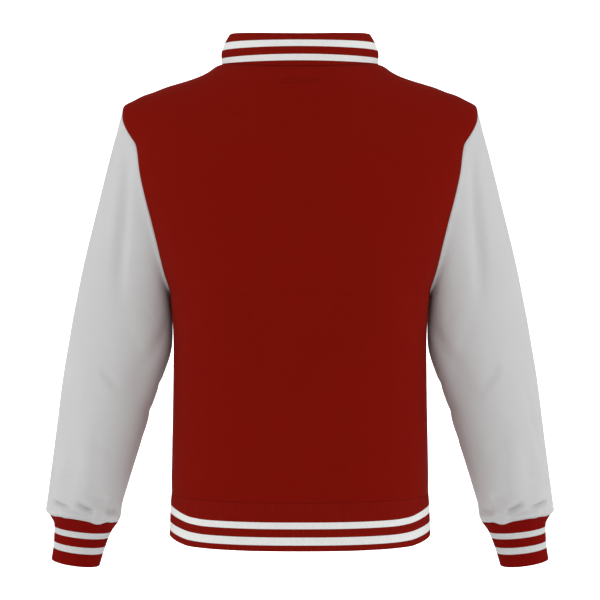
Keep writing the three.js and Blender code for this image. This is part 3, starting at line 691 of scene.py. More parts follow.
def sleeve_crease_depth(number, degrees):
    """Depth of the creases and of the puckered, bloused cloth above the cuff, at one ring."""
    total = np.zeros_like(degrees)
    for crease in SLEEVE_CREASES + CUFF_PUCKERS:
        away = (degrees - crease["angle"] + 540) % 360 - 180
        middle = crease["ring"] + crease["climb"] * away / 100
        across = np.exp(-(((number - middle) / crease["width"]) ** 2))
        total += crease["depth"] * across * np.exp(-((away / crease["reach"]) ** 4))
    angle = np.radians(degrees)
    ease = (0.7 + 0.3 * np.sin(angle * 5 + 0.6)) * smooth_step(0, 0.6, np.abs(np.sin(angle)))
    return total - 2.2 * ease * math.exp(-(((number - 19.1) / 0.42) ** 2))


def cuff_seam_wave(angle):
    """How far the cuff seam wanders down the sleeve, in millimetres."""
    degrees = np.degrees(angle) % 360
    return -look_up(CUFF_SEAM["angle"], CUFF_SEAM["rise"], degrees) + 0.3 * np.sin(13 * angle)


def make_sleeve(back, left):
    """The left sleeve, from the edges of the body's armhole down to the cuff."""
    back_edge, front_edge = arm_edge(back), arm_edge(left)
    ring = [joined(back_edge[0], front_edge[0])] + back_edge[1:-1]
    ring += [joined(back_edge[-1], front_edge[-1])] + front_edge[1:-1][::-1]
    points, normals, away = (np.array([r[k] for r in ring]) for k in range(3))
    start = points + away * SEAM_GAP
    start_inner = points - normals * WALL + away * SEAM_GAP
    count = len(ring)
    steps = len(back_edge) - 1  # from the tip to the underarm
    angle = np.concatenate([arm_angles()[::-1], 2 * math.pi - arm_angles()[1:-1]])
    tip, under = start[0], start[steps]
    first = dict(out_x=tip[0], out_z=tip[2], in_x=under[0], in_z=under[2], depth=60)
    drift = start - ring_points(first, 0.0, angle)
    numbers = [0, 0.08, 0.2, 0.4, 0.6, 0.8]
    numbers += list(np.arange(1, 16.9, 0.14)) + list(np.arange(17, 19.04, 0.08))
    numbers += [19.2, 19.38, 19.55, 19.7, 19.82, 19.92, 20]
    even = 2 * math.pi * np.arange(count) / count
    rows = [start]
    for number in numbers[1:]:
        values = sleeve_ring_values(number)
        mixed = angle + (even - angle) * smooth_step(0, 8, number)
        rows.append(ring_points(values, values["mid_y"], mixed) + drift * values["follow"])
    grid = np.array(rows)
    soft = np.array([smooth_step(0, 0.5, n) * (1 - smooth_step(6, 9, n)) for n in numbers])
    for _ in range(SLEEVE_SMOOTHING):
        along = (grid[2:] + grid[:-2]) / 2
        round_it = (np.roll(grid, 1, 1) + np.roll(grid, -1, 1))[1:-1] / 2
        grid[1:-1] += (0.75 * along + 0.25 * round_it - grid[1:-1]) * soft[1:-1, None, None]
    wrist_axis = ring_axis({k: v[-1] for k, v in SLEEVE_RINGS.items()})
    flat = grid_normals(grid, True)
    if flat[len(rows) // 2, 0, 0] < 0:
        flat = -flat
    for i, number in enumerate(numbers):
        mixed = angle + (even - angle) * smooth_step(0, 8, number)
        depth = sleeve_fold_depth(number, np.degrees(mixed))
        depth += sleeve_crease_depth(number, np.degrees(mixed)) * smooth_step(0, 2, number)
        near = smooth_step(17.6, 19.3, number) * (1 - 0.7 * smooth_step(19.4, 20, number))
        depth += near * (0.45 * np.sin(mixed * 21 + 1.3) + 0.3 * np.sin(mixed * 34 + 0.4))
        grid[i] = grid[i] - flat[i] * depth[:, None]
        wander = smooth_step(19.0, 20, number) * cuff_seam_wave(mixed)
        grid[i] += wrist_axis * wander[:, None]
    normals = grid_normals(grid, True)
    if normals[len(rows) // 2, 0, 0] < 0:
        normals = -normals
    normals[-1] = unit(normals[-1] - (normals[-1] @ wrist_axis)[:, None] * wrist_axis)
    inner = grid - normals * WALL
    inner[0] = start_inner
    outer = tucked(grid, normals, [], [(0, 1), (-1, 1)])
    return dict(grid=grid, normals=normals, outer=outer, inner=inner)


def arm_angles():
    """Angles of the body's rows along the armhole, from the underarm up to the tip."""
    rows, level_count = body_rows()
    return np.array([row[1] for row in rows[level_count:]])


# Ribs: a band of stations round an opening, with a cross-section that folds over at its edge


def rib_profile(stripes, length, steps=26):
    """(share of the depth, distance in from the outer face, stripe) round a folded band."""
    marks = sorted(set([0.0, 0.01, 1.0] + stripes + [k / steps for k in range(1, steps)]))
    marks = [m for k, m in enumerate(marks) if m in stripes or m in (0.0, 1.0) or
             min(abs(m - s) for s in stripes) > 0.012]
    curve = RIB_WALL / length / 2
    outside = [(m, 0.0) for m in marks if m < 1 - curve] + [(1 - curve, 0.0)]
    bend = []
    for k in range(1, 8):
        a = math.pi * k / 8
        bend.append((1 - curve + curve * math.sin(a), RIB_WALL / 2 * (1 - math.cos(a))))
    inside = [(m, RIB_WALL) for m, _ in outside[::-1]]
    return outside + bend + inside


def stripe_of(share, stripes):
    """0 for the ground colour and 1 for a stripe."""
    return sum(share >= s for s in stripes) % 2


def quads(low, high, spans, count):
    """Faces between two rows of points, whose first points have the numbers low and high."""
    j = np.arange(spans)
    n = (j + 1) % count
    return np.stack([low + j, low + n, high + n, high + j], 1)


def rib_mesh(name, base_at, normal_at, stations, closed, length, stripes, ground, stripe):
    """A doubled rib with its ribs and stripes, from its sewn edge round the fold and back."""
    edge_lift = 0.5  # how far the first row is drawn in under the seam
    profile = rib_profile(stripes, length)
    wave = np.array([RIB_WAVE[k % 4] for k in range(stations)]) * RIB_RELIEF
    grid = []
    for share, inward in profile:
        base, normal = base_at(share), normal_at(share)
        knit = wave if inward < RIB_WALL / 2 else -wave
        if share == 0.0:
            knit = knit * 0.5
        drawn = edge_lift if share == 0.0 and inward == 0 else 0
        grid.append(base - normal * (inward + knit + drawn)[:, None])
    grid = np.array(grid)
    rows, count = grid.shape[:2]
    faces, kinds = [], []
    spans = count if closed else count - 1
    for i in range(rows):
        k = (i + 1) % rows
        middle = (profile[i][0] + profile[k][0]) / 2
        kind = stripe_of(middle, stripes) if k else 0
        faces.append(quads(i * count, k * count, spans, count))
        kinds += [kind] * spans
    faces = np.concatenate(faces)
    ends = []
    if not closed:
        first = [i * count for i in range(rows)]
        ends = [first[::-1], [i + count - 1 for i in first]]
    u = np.tile(np.arange(count) * RIB_PITCH / 4, rows)
    v = np.repeat([p[0] * length + p[1] for p in profile], count)
    uv = np.stack([u, v], 1)
    return mesh_object(name, grid.reshape(-1, 3), faces, [ground, stripe], kinds, uv, ends)


def even_stations(points, others, count):
    """Points spaced evenly along a line of stations, with what belongs to each."""
    reach = np.concatenate([[0], np.cumsum(np.linalg.norm(np.diff(points, axis=0), axis=1))])
    at = np.linspace(0, reach[-1], count)
    mix = lambda values: np.stack([np.interp(at, reach, column) for column in values.T], 1)
    return mix(points), [mix(o) for o in others], reach[-1]


def make_cuff(materials):
    def values_at(share):
        shares = CUFF_RINGS["share"]
        return {k: look_up(shares, CUFF_RINGS[k], share) for k in CUFF_RINGS if k != "share"}

    def base_at(share):
        inner_side = (1 - np.cos(angle)) / 2
        drawn = share - CUFF_TILT * inner_side * 4 * share * (1 - share)
        points, axis = ring_points(values_at(drawn), CUFF_MID_Y, angle), ring_axis(values_at(share))
        wander = (1 - smooth_step(0, 0.24, share)) * cuff_seam_wave(angle)
        return points + axis * wander[:, None], axis

    count = 4 * int(2 * math.pi * CUFF_RADIUS / RIB_PITCH)
    angle = 2 * math.pi * np.arange(count) / count

    def normal_at(share):
        points, axis = base_at(share)
        along = np.roll(points, -1, 0) - np.roll(points, 1, 0)
        normal = unit(np.cross(along, axis))
        centre = points.mean(0)
        return -normal if (normal[0] * (points[0] - centre)).sum() < 0 else normal

    # The cuff's stripes take a darker copy of the stripe colour: painted shade on the cuffs
    return rib_mesh("cuff_left_knit", lambda s: base_at(s)[0], normal_at, count, True, CUFF_DEPTH,
                    CUFF_STRIPES, materials["cuff"], materials["cuff_stripe_painted_shade"])


def hem_line():
    """The hem outline from the left front's edge round the back to the right front's edge."""
    half = SIDE_LINE["x"][0]
    start = math.asin((LAP_HALF_WIDTH / half) ** (POWER / 2))
    turn = np.linspace(-start, 2 * math.pi + start, 721)
    bent = lambda v: np.sign(v) * np.abs(v) ** (2 / POWER)
    x = half * bent(np.sin(turn))
    front = np.cos(turn) > 0
    depth = np.where(front, CENTRE_LINE["front"][0], CENTRE_LINE["back"][0])
    points = np.stack([x, -depth * bent(np.cos(turn)), np.zeros_like(x)], 1)
    padded = np.concatenate([points[:1], points, points[-1:]])
    along = padded[2:] - padded[:-2]
    normals = unit(np.stack([along[:, 1], -along[:, 0], 0 * x], 1))
    near_lap = smooth_step(-2 * LAP_HALF_WIDTH, -LAP_RAMP_END, x)
    under = np.where(front & (turn > 1.5 * math.pi), near_lap, 0)
    return points - normals * (LAP * under)[:, None], normals


def make_hem(materials):
    points, normals = hem_line()
    _, _, length = even_stations(points, [], 10)
    count = 4 * int(length / RIB_PITCH) + 1
    base, (n,), _ = even_stations(points, [normals], count)
    n = unit(n)
    reach = np.abs(base[:, 0]) / SIDE_LINE["x"][0]
    side, corner = smooth_step(0.7, 1.0, reach), smooth_step(0.82, 1.04, reach)

    def base_at(share):
        lift = look_up(HEM_SIDE_LIFT["share"], HEM_SIDE_LIFT["up"], share) * corner
        share = share - HEM_SIDE_RISE * side * 4 * share * (1 - share)
        out = look_up(HEM_PROFILE["share"], HEM_PROFILE["out"], share)
        moved = base + n * out[:, None]
        moved[:, 2] = look_up(HEM_PROFILE["share"], HEM_PROFILE["z"], share) + lift
        return moved

    return rib_mesh("hem_rib_knit", base_at, lambda s: n, count, False, HEM_DEPTH, HEM_STRIPES,
                    materials["rib"], materials["stripe"])


def neck_line(back, left, right):
    """Stations from the centre front round the left shoulder and the back to the centre front."""
    around = [s for s in neck_edge(left["grid"], left["normals"]) if s[0][0] > 0]
    across = neck_edge(back["grid"], back["normals"])[::-1]
    last = [s for s in neck_edge(right["base"], right["base_normals"]) if s[0][0] < 0]
    first_join = joined(around[-1], across[0])
    second_join = joined(across[-1], last[0])
    stations = around[:-1] + [first_join] + across[1:-1] + [second_join] + last[1:]
    return [np.array([s[k] for s in stations]) for k in range(3)]


def collar_frame(back, left, right):
    """The collar's stations: places, ways in, scales of its profile, and how many there are."""
    points, _, away = neck_line(back, left, right)
    _, _, length = even_stations(points, [], 10)
    count = 4 * int(length / RIB_PITCH) + 1
    base, (away,), _ = even_stations(points, [away], count)
    base = base + unit(away) * SEAM_GAP
    padded = np.concatenate([base[:1], base, base[-1:]])
    along = padded[2:] - padded[:-2]
    inward = unit(np.stack([-along[:, 1], along[:, 0], 0 * along[:, 0]], 1))
    flip = (inward * base).sum(1) > 0
    inward[flip] = -inward[flip]
    bow = neck_bow(base[:, 0])
    rear = base[:, 1] > 0
    scale = []
    for k in range(2):
        end = np.where(rear, COLLAR_SCALE["back"][k], COLLAR_SCALE["front"][k])
        scale.append(COLLAR_SCALE["side"][k] + (end - COLLAR_SCALE["side"][k]) * bow)
    return base, inward, scale, count


def make_collar(collar, materials):
    base, inward, (tall, lean), count = collar
    dip = COLLAR_SIDE_DIP * (1 - neck_bow(base[:, 0]) ** 2.3)

    def base_at(share):
        share = share - dip * 1.2 * (1 - share**2.5) * share / (0.05 + share)
        up = look_up(COLLAR_PROFILE["share"], COLLAR_PROFILE["up"], share)
        inn = look_up(COLLAR_PROFILE["share"], COLLAR_PROFILE["lean"], share)
        points = base + inward * (inn * lean)[:, None]
        points[:, 2] += up * tall
        return points

    def normal_at(share):
        low, high = base_at(max(0, share - 0.06)), base_at(min(1, share + 0.06))
        points = base_at(share)
        padded = np.concatenate([points[:1], points, points[-1:]])
        normal = unit(np.cross(padded[2:] - padded[:-2], high - low))
        flip = (normal * inward).sum(1) > 0
        normal[flip] = -normal[flip]
        return -inward if share == 0.0 else normal

    return rib_mesh("collar_knit", base_at, normal_at, count, False, COLLAR_DEPTH, COLLAR_STRIPES,
                    materials["rib"], materials["stripe"])


# Meshes


def mesh_object(name, points, faces, materials, kinds=None, uv=None, more_faces=()):
    """A mesh object from points in millimetres; its faces are turned to face out."""
    points = np.asarray(points, float) * MM
    faces = np.asarray(faces)
    a, b, c, d = (points[faces[:, k]] for k in range(4))
    volume = ((a * np.cross(b, c)).sum() + (a * np.cross(c, d)).sum()) / 6
    turned = volume < 0
    polygons = [list(map(int, f)) for f in (faces[:, ::-1] if turned else faces)]
    extra = [list(f)[::-1] if turned else list(f) for f in more_faces]
    mesh = bpy.data.meshes.new(name)
    mesh.from_pydata(points.tolist(), [], polygons + extra)
    for material in materials:
        mesh.materials.append(material)
    if kinds is not None:
        mesh.polygons.foreach_set("material_index", list(kinds) + [0] * len(extra))
    if uv is not None:
        layer = mesh.uv_layers.new(name="cloth")
        loops = np.empty(len(mesh.loops), int)
        mesh.loops.foreach_get("vertex_index", loops)
        layer.data.foreach_set("uv", np.asarray(uv, float)[loops].ravel())
    mesh.polygons.foreach_set("use_smooth", [True] * len(mesh.polygons))
    mesh.update()
    obj = bpy.data.objects.new(name, mesh)
    bpy.context.collection.objects.link(obj)
    return obj


def shell_object(name, outer, inner, material, closed=False):
    """A closed wall of cloth from its outer and inner points."""
    rows, count = outer.shape[:2]
    spans = count if closed else count - 1
    front = [quads(i * count, (i + 1) * count, spans, count) for i in range(rows - 1)]
    front = np.concatenate(front)
    offset = rows * count
    faces = [front, front[:, ::-1] + offset]
    j = np.arange(spans)
    n = (j + 1) % count
    last = (rows - 1) * count
    faces.append(np.stack([j, j + offset, n + offset, n], 1))
    faces.append(quads(last, last + offset, spans, count))
    if not closed:
        i = np.arange(rows - 1)
        k = i + 1
        end = count - 1
        faces.append(np.stack([i * count, k * count, k * count + offset, i * count + offset], 1))
        low, high = i * count + end, k * count + end
        faces.append(np.stack([low, low + offset, high + offset, high], 1))
    points = np.concatenate([outer.reshape(-1, 3), inner.reshape(-1, 3)])
    beyond = outer[:, :1] if closed else outer[:, -1:]
    across = np.linalg.norm(np.diff(outer, axis=1, append=beyond), axis=2)
    down = np.linalg.norm(np.diff(outer, axis=0, append=outer[-1:]), axis=2)
    u = np.concatenate([np.zeros((rows, 1)), np.cumsum(across, 1)[:, :-1]], 1)
    v = np.concatenate([np.zeros((1, count)), np.cumsum(down, 0)[:-1]], 0)
    uv = np.tile(np.stack([u, v], -1).reshape(-1, 2), (2, 1))
    return mesh_object(name, points, np.concatenate(faces), [material], uv=uv)


def cloth_area(panel):
    """Area of the cloth in square metres."""
    grid = panel["grid"]
    a = grid[1:, :-1] - grid[:-1, :-1]
    b = grid[:-1, 1:] - grid[:-1, :-1]
    return float(np.linalg.norm(np.cross(a, b), axis=-1).sum()) * 1e-6


# Stitches


def stitch_object(name, lines, material, pitch=3.2, length=2.5, width=0.34):
    """Separate short stitches along lines of (points, normals), joined into one mesh."""
    points, faces, extra = [], [], []
    total = 0
    around = 6
    ring = 2 * math.pi * np.arange(around) / around
    profile = [(-0.5, 0.25), (-0.3, 0.9), (0.0, 1.0), (0.3, 0.9), (0.5, 0.25)]
    for line, normals in lines:
        reach = np.linalg.norm(np.diff(line, axis=0), axis=1).sum()
        count = max(2, int(reach / pitch))
        at, (n,), _ = even_stations(line, [normals], 2 * count + 1)
        place, n = at[1::2], unit(n[1::2])
        along = unit(at[2::2] - at[:-2:2])
        side = unit(np.cross(along, n))
        for p, t, s, up in zip(place, along, side, n):
            for shift, size in profile:
                centre = p + t * shift * length + up * (0.05 - 0.25 * abs(shift) * 2)
                wide, high = np.cos(ring)[:, None] * s, np.sin(ring)[:, None] * up
                points.append(centre + wide * width * size + high * width * size)
            for k in range(len(profile) - 1):
                row = total + k * around
                faces.append(quads(row, row + around, around, around))
            extra.append([total + m for m in range(around)][::-1])
            extra.append([total + (len(profile) - 1) * around + m for m in range(around)])
            total += len(profile) * around
    points, faces = np.concatenate(points), np.concatenate(faces)
    return mesh_object(name, points, faces, [material], more_faces=extra)


def offset_line(panel, side, distance):
    """A line on the outer face at a set distance in from one edge."""
    outer, normals = panel["outer"], panel["normals"]
    turned = dict(
        start=lambda g: g, end=lambda g: g[:, ::-1], top=lambda g: g[::-1].transpose(1, 0, 2)
    )[side]
    grid, norm = turned(outer), turned(normals)
    near = 30  # points in from the edge that can be within the distance
    reach = np.cumsum(np.linalg.norm(np.diff(grid, axis=1), axis=2), axis=1)
    points, ups = [], []
    for r in range(len(grid)):
        along = np.concatenate([[0], reach[r]])[:near]
        points.append([np.interp(distance, along, grid[r, :near, k]) for k in range(3)])
        ups.append([np.interp(distance, along, norm[r, :near, k]) for k in range(3)])
    return np.array(points), unit(np.array(ups))


# Materials


def new_material(name, values):
    """A material with its shader, and the values that are the same all over it."""
    material = bpy.data.materials.new(name)
    material.use_nodes = True
    shader = material.node_tree.nodes["Principled BSDF"]
    for key, value in values.items():
        shader.inputs[key].default_value = value
    return material, shader


def add_node(material, kind, values, sources, **settings):
    """A node with its settings, its input values and the outputs that feed its other inputs."""
    node = material.node_tree.nodes.new("ShaderNode" + kind)
    for key, value in settings.items():
        setattr(node, key, value)
    for key, value in values.items():
        node.inputs[key].default_value = value
    for key, source in sources.items():
        material.node_tree.links.new(source, node.inputs[key])
    return node


def place_on(material):
    return add_node(material, "TexCoord", {}, {}).outputs["Object"]


def cloth_uv(material):
    return add_node(material, "UVMap", {}, {}, uv_map="cloth").outputs["UV"]


def noise(material, place, scale, detail):
    """A noise pattern: scale in cells to a metre."""
    values = {"Scale": scale, "Detail": detail}
    return add_node(material, "TexNoise", values, {"Vector": place}).outputs["Fac"]


def waves(material, uv, direction, scale, distortion, detail):
    """Waves across the cloth or along it, on its own lengths in millimetres."""
    values = {"Scale": scale, "Distortion": distortion, "Detail": detail}
    settings = dict(wave_type="BANDS", bands_direction=direction)
    return add_node(material, "TexWave", values, {"Vector": uv}, **settings).outputs["Fac"]


def multiply_add(material, value, factor, more):
    sources = {0: value, 2: more}
    return add_node(material, "Math", {1: factor}, sources, operation="MULTIPLY_ADD").outputs[0]


def add_tone(material, shader, colour, shades, tone):
    """Colour between two shades of one colour."""
    values = {"A": linear(colour, shades[0]), "B": linear(colour, shades[1])}
    mix = add_node(material, "Mix", values, {"Factor": tone}, data_type="RGBA")
    material.node_tree.links.new(mix.outputs["Result"], shader.inputs["Base Color"])


def add_relief(material, shader, height, strength, distance):
    """Relief of a height in metres, in the shading only."""
    values = {"Strength": strength, "Distance": distance}
    bump = add_node(material, "Bump", values, {"Height": height})
    material.node_tree.links.new(bump.outputs["Normal"], shader.inputs["Normal"])


def fleece(name, colour):
    """Brushed jersey: fine columns of knit, a soft nap and faint uneven dye."""
    material, shader = new_material(name, {
        "Roughness": 0.95, "Specular IOR Level": 0.02,
        "Sheen Weight": 0.006, "Sheen Roughness": 0.7,
    })
    place = place_on(material)
    dye = noise(material, place, 9.0, 5.0)
    nap = noise(material, place, 420.0, 4.0)
    soft = add_node(material, "Math", {1: 0.4}, {0: nap}, operation="MULTIPLY").outputs[0]
    tone = multiply_add(material, dye, 0.6, soft)
    wales = waves(material, cloth_uv(material), "X", 0.36, 0.6, 1.0)
    height = multiply_add(material, wales, 0.35, nap)
    add_tone(material, shader, colour, (0.955, 1.03), tone)
    add_relief(material, shader, height, 0.35, 0.0005)
    return material


def rib_knit(name, colour):
    """Rib knit: rows of small stitches across each rib, and soft uneven dye."""
    material, shader = new_material(name, {
        "Roughness": 0.95, "Specular IOR Level": 0.03,
        "Sheen Weight": 0.008, "Sheen Roughness": 0.7,
    })
    rows = waves(material, cloth_uv(material), "Y", 0.26, 0.5, 2.0)
    fuzz = noise(material, place_on(material), 600.0, 3.0)
    height = multiply_add(material, rows, 1.0, fuzz)
    add_tone(material, shader, colour, (0.95, 1.03), fuzz)
    add_relief(material, shader, height, 0.35, 0.0004)
    return material


def thread(name, colour, factor):
    """Twisted sewing thread with a slight shine."""
    material, shader = new_material(name, {
        "Base Color": linear(colour, factor), "Roughness": 0.8, "Specular IOR Level": 0.1,
    })
    twist = noise(material, place_on(material), 2500.0, 2.0)
    add_relief(material, shader, twist, 0.4, 0.0001)
    return material


def enamel(name):
    """Smooth painted metal with faint handling marks."""
    material, shader = new_material(name, {"Base Color": linear("snap"), "Coat Weight": 0.4})
    marks = noise(material, place_on(material), 300.0, 2.0)
    spread = add_node(material, "MapRange", {"To Min": 0.22, "To Max": 0.4}, {"Value": marks})
    material.node_tree.links.new(spread.outputs["Result"], shader.inputs["Roughness"])
    return material


def build_materials():
    return dict(
        body=fleece("body_fleece", "body"),
        sleeve=fleece("sleeve_fleece", "sleeve"),
        rib=rib_knit("rib_red", "rib"),
        cuff=rib_knit("cuff_red", "cuff"),
        stripe=rib_knit("rib_stripe", "stripe"),
        # The cuffs' stripe is a darker copy of the rib stripe: painted shade
        cuff_stripe_painted_shade=rib_knit("cuff_stripe_painted_shade", "cuff_stripe_painted_shade"),
        body_thread=thread("body_thread", "body", 0.86),
        sleeve_thread=thread("sleeve_thread", "sleeve", 0.95),
        # The bar's thread is the body colour darkened to 0.62: painted shade of a shallow crease along the bar
        bar_thread_painted_shade=thread("bar_thread_painted_shade", "body", 0.62),
        snap=enamel("snap_enamel"),
    )


def mirrored(obj, name):
    """A copy on the other side of the jacket, with its faces turned back to face out."""
    mesh = obj.data.copy()
    mesh.name = name
    count = len(mesh.vertices)
    points = np.empty(count * 3)
    mesh.vertices.foreach_get("co", points)
    points[0::3] *= -1
    mesh.vertices.foreach_set("co", points)
    mesh.flip_normals()
    mesh.update()
    copy = bpy.data.objects.new(name, mesh)
    bpy.context.collection.objects.link(copy)
    return copy


def snap_object(name, node, material):
    """A pressed cap with a rolled edge and a shallow dish, seated where its solid is."""
    source = frame["nodes"][node]
    points = np.array([v.co for v in source.data.vertices]) / MM
    centre = points.mean(0)
    _, _, axes = np.linalg.svd(points - centre)
    out = axes[2] if axes[2][1] < 0 else -axes[2]
    heights = (points - centre) @ out
    seat = centre + out * heights.min()
    side = unit(np.cross(out, [0, 0, 1.0]))
    up = np.cross(side, out)
    around = 48
    ring = 2 * math.pi * np.arange(around) / around
    rows = []
    for radius, height in SNAP_PROFILE:
        circle = np.cos(ring)[:, None] * side + np.sin(ring)[:, None] * up
        rows.append(seat + out * height + max(radius, 0.02) * circle)
    grid = np.array(rows)
    last = len(SNAP_PROFILE) - 1
    faces = [quads(i * around, (i + 1) * around, around, around) for i in range(last)]
    caps = [list(range(around))[::-1], [last * around + j for j in range(around)]]
    faces = np.concatenate(faces)
    return mesh_object(name, grid.reshape(-1, 3), faces, [material], more_faces=caps)


def finish_piece(obj, node, slot):
    """A piece on the root body, with the solid it takes the place of and its slot."""
    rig.ride(obj, "root")
    if node:
        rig.replaces(obj, node)
    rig.slot(obj, slot)
    return obj


def bar_lines(back):
    """The outline of the stitched bar, on the back's outer face."""
    middle = back["outer"].shape[1] // 2
    heights, ups = back["outer"][:, middle, 2], back["normals"][:, middle]
    normal_at = lambda z: unit(np.array([np.interp(z, heights, ups[:, k]) for k in range(3)]))
    across = np.linspace(-BAR_HALF_WIDTH, BAR_HALF_WIDTH, 12)
    down = (BAR_Z[0], sum(BAR_Z) / 2, BAR_Z[1])
    lines = [([(x, z) for x in across], normal_at(z)) for z in BAR_Z]
    lines += [([(x, z) for z in down], normal_at(BAR_Z[1])) for x in across[[0, -1]]]
    return [
        (np.array([surface_at(back, x, z) for x, z in places]), np.tile(up, (len(places), 1)))
        for places, up in lines
    ]


def surface_at(panel, x, z):
    """The outer point of a panel at a place seen square on."""
    outer = panel["outer"]
    at = lambda row, axis: np.interp(x, outer[row, :, 0], outer[row, :, axis])
    for i in range(len(outer) - 1, 0, -1):
        low, high = at(i - 1, 2), at(i, 2)
        if low <= z <= high:
            share = (z - low) / max(high - low, 1e-9)
            return np.array([x, at(i - 1, 1) + (at(i, 1) - at(i - 1, 1)) * share, z])
    raise ValueError("no cloth there")


def build_jacket():
    m = build_materials()
    back = make_panel("back", "back")
    left = make_panel("front", "left")
    right = make_panel("front", "right")
    sleeve = make_sleeve(back, left)
    pieces = {}
    for node, panel in (("back", back), ("front_left", left), ("front_right", right)):
        pieces[node] = shell_object(node + "_cloth", panel["outer"], panel["inner"], m["body"])
    tube = shell_object("sleeve_left_cloth", sleeve["outer"], sleeve["inner"], m["sleeve"], True)
    pieces["sleeve_left"] = tube
    pieces["sleeve_right"] = mirrored(tube, "sleeve_right_cloth")
    pieces["collar"] = make_collar(collar_frame(back, left, right), m)
    pieces["hem_rib"] = make_hem(m)
    pieces["cuff_left"] = make_cuff(m)
    pieces["cuff_right"] = mirrored(pieces["cuff_left"], "cuff_right_knit")
    slots = dict(back="body_fleece", front_left="body_fleece", front_right="body_fleece",
                 sleeve_left="sleeve_fleece", sleeve_right="sleeve_fleece")
    for node, obj in pieces.items():
        finish_piece(obj, node, slots.get(node, "rib_knit"))
    for k in range(1, SNAP_COUNT + 1):
        cap = snap_object(f"snap_{k}_cap", f"snap_{k}", m["snap"])
        finish_piece(cap, f"snap_{k}", "snap_enamel")
    stitches = add_stitches(back, left, right, sleeve, m)
    declare(pieces, back, left, right, sleeve, stitches)


def add_stitches(back, left, right, sleeve, m):
    """The stitched bar, and the rows of stitches on the body and above the cuffs."""
    # The bar's darkened thread is painted shade, standing for the shade of a shallow crease along the bar
    bar = stitch_object("neck_bar_stitches", bar_lines(back), m["bar_thread_painted_shade"], width=0.42)
    finish_piece(bar, None, "body_fleece")
    _, level_count = body_rows()
    sides = [(back, "start"), (back, "end"), (left, "end"), (right, "start")]
    rows = [(panel, side, STITCH_INSET, level_count + 3, 6) for panel, side in sides]
    rows += [(panel, "top", STITCH_INSET, 3, 3) for panel in (back, left, right)]
    rows.append((left, "start", LAP_STITCH_INSET, 2, 2))
    lines = []
    for panel, side, inset, first, last in rows:
        points, ups = offset_line(panel, side, inset)
        lines.append((points[first:-last], ups[first:-last]))
    stitches = stitch_object("body_stitches", lines, m["body_thread"])
    finish_piece(stitches, None, "body_fleece")
    above_cuff = -6
    wrist = [
        np.concatenate([sleeve[key][above_cuff], sleeve[key][above_cuff][:1]])
        for key in ("outer", "normals")
    ]
    cuff_stitches = stitch_object("sleeve_left_stitches", [tuple(wrist)], m["sleeve_thread"])
    finish_piece(cuff_stitches, None, "sleeve_fleece")
    finish_piece(mirrored(cuff_stitches, "sleeve_right_stitches"), None, "sleeve_fleece")
    return stitches


def declare(pieces, back, left, right, sleeve, stitches):
    """The flat cut of each piece, in metres."""
    area = lambda panel: round(cloth_area(panel), 3)
    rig.sheet(pieces["back"], flat=(0.58, 0.62), held="hung", area=area(back),
             with_pieces=[stitches])
    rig.sheet(pieces["front_left"], flat=(0.31, 0.62), held="hung", area=area(left))
    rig.sheet(pieces["front_right"], flat=(0.31, 0.62), held="hung", area=area(right))
    for side in ("left", "right"):
        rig.sheet(pieces[f"sleeve_{side}"], flat=(0.46, 0.6), held="hung", area=area(sleeve),
                 rests_on=["back_cloth", f"front_{side}_cloth"])
        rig.sheet(pieces[f"cuff_{side}"], flat=(0.23, 0.06), held="stretched",
                 rests_on=[f"sleeve_{side}_cloth"])
    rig.sheet(pieces["collar"], flat=(0.53, 0.045), held="stretched", rests_on=["back_cloth"])
    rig.sheet(pieces["hem_rib"], flat=(1.04, 0.064), held="stretched", rests_on=["back_cloth"])


# Stage, light and camera


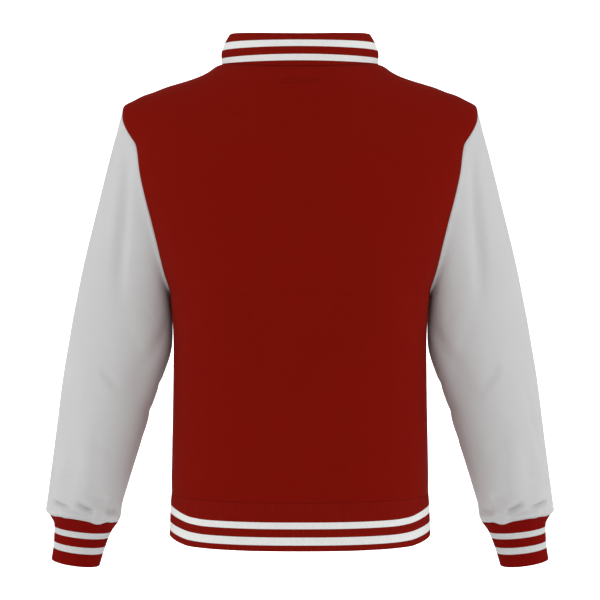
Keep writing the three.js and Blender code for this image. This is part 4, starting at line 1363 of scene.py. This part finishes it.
def build_stage():
    """A floor that curves up into a wall behind the jacket, in metres."""
    material, _ = new_material("studio_white", {"Base Color": linear("floor"), "Roughness": 0.9})
    floor_z, wall_y, bend, half_width, steps = -1.45, -7.0, 2.5, 14.0, 12
    profile = [(12.0, 0.0), (4.0, 0.0)]
    for k in range(steps + 1):
        a = math.pi / 2 * k / steps
        profile.append((wall_y + bend - bend * math.sin(a), bend - bend * math.cos(a)))
    profile.append((wall_y, 9.0))
    points, faces = [], []
    for y, z in profile:
        points += [(-half_width, y, floor_z + z), (half_width, y, floor_z + z)]
    for i in range(len(profile) - 1):
        faces.append((2 * i, 2 * i + 1, 2 * i + 3, 2 * i + 2))
    mesh = bpy.data.meshes.new("studio_floor")
    mesh.from_pydata(points, [], faces)
    mesh.materials.append(material)
    mesh.polygons.foreach_set("use_smooth", [True] * len(faces))
    floor = bpy.data.objects.new("studio_floor", mesh)
    bpy.context.collection.objects.link(floor)
    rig.stage(floor)


# Name, place and target in metres, width in metres and power in watts of each lamp
LIGHTS = [
    ("key", (0.0, 3.4, 2.2), (0, 0, -0.3), 2.2, 37),
    ("left_fill", (3.2, 0.4, 0.5), (0, 0, -0.35), 2.4, 30),
    ("right_fill", (-3.2, 0.4, 0.5), (0, 0, -0.35), 2.4, 30),
    ("front_fill", (0, -3.6, 0.8), (0, 0, -0.3), 2.6, 17),
    ("backdrop", (0, -2.6, 2.6), (0, -7, 0.2), 5.0, 420),
]


def area_light(name, place, target, size, power):
    light = bpy.data.lights.new(name, "AREA")
    light.shape = "SQUARE"
    light.size = size
    light.energy = power
    obj = bpy.data.objects.new(name, light)
    obj.location = place
    direction = Vector(target) - Vector(place)
    obj.rotation_euler = direction.to_track_quat("-Z", "Y").to_euler()
    bpy.context.collection.objects.link(obj)


def build_light():
    world = bpy.data.worlds.new("studio")
    world.use_nodes = True
    background = world.node_tree.nodes["Background"].inputs
    background["Color"].default_value = (1, 1, 1, 1)
    background["Strength"].default_value = 0.54
    bpy.context.scene.world = world
    for name, place, target, size, power in LIGHTS:
        area_light(name, place, target, size, power)


def build_camera():
    camera = bpy.data.cameras.new("camera")
    camera.lens = 113.28
    camera.sensor_width = 36
    camera.clip_end = 60
    obj = bpy.data.objects.new("camera", camera)
    obj.location = (0.0, 2.6, -0.2154)
    obj.rotation_euler = (math.radians(90 - 2.27), 0, math.radians(180))
    bpy.context.collection.objects.link(obj)
    bpy.context.scene.camera = obj
    bpy.context.scene.view_settings.view_transform = "Standard"


build_jacket()
build_stage()
build_light()
build_camera()

model_box = [[float(c) for c in corner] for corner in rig.bounds()]
with open("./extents.json", "w") as size_file:
    json.dump({"cad": cad_box, "visual": model_box}, size_file)
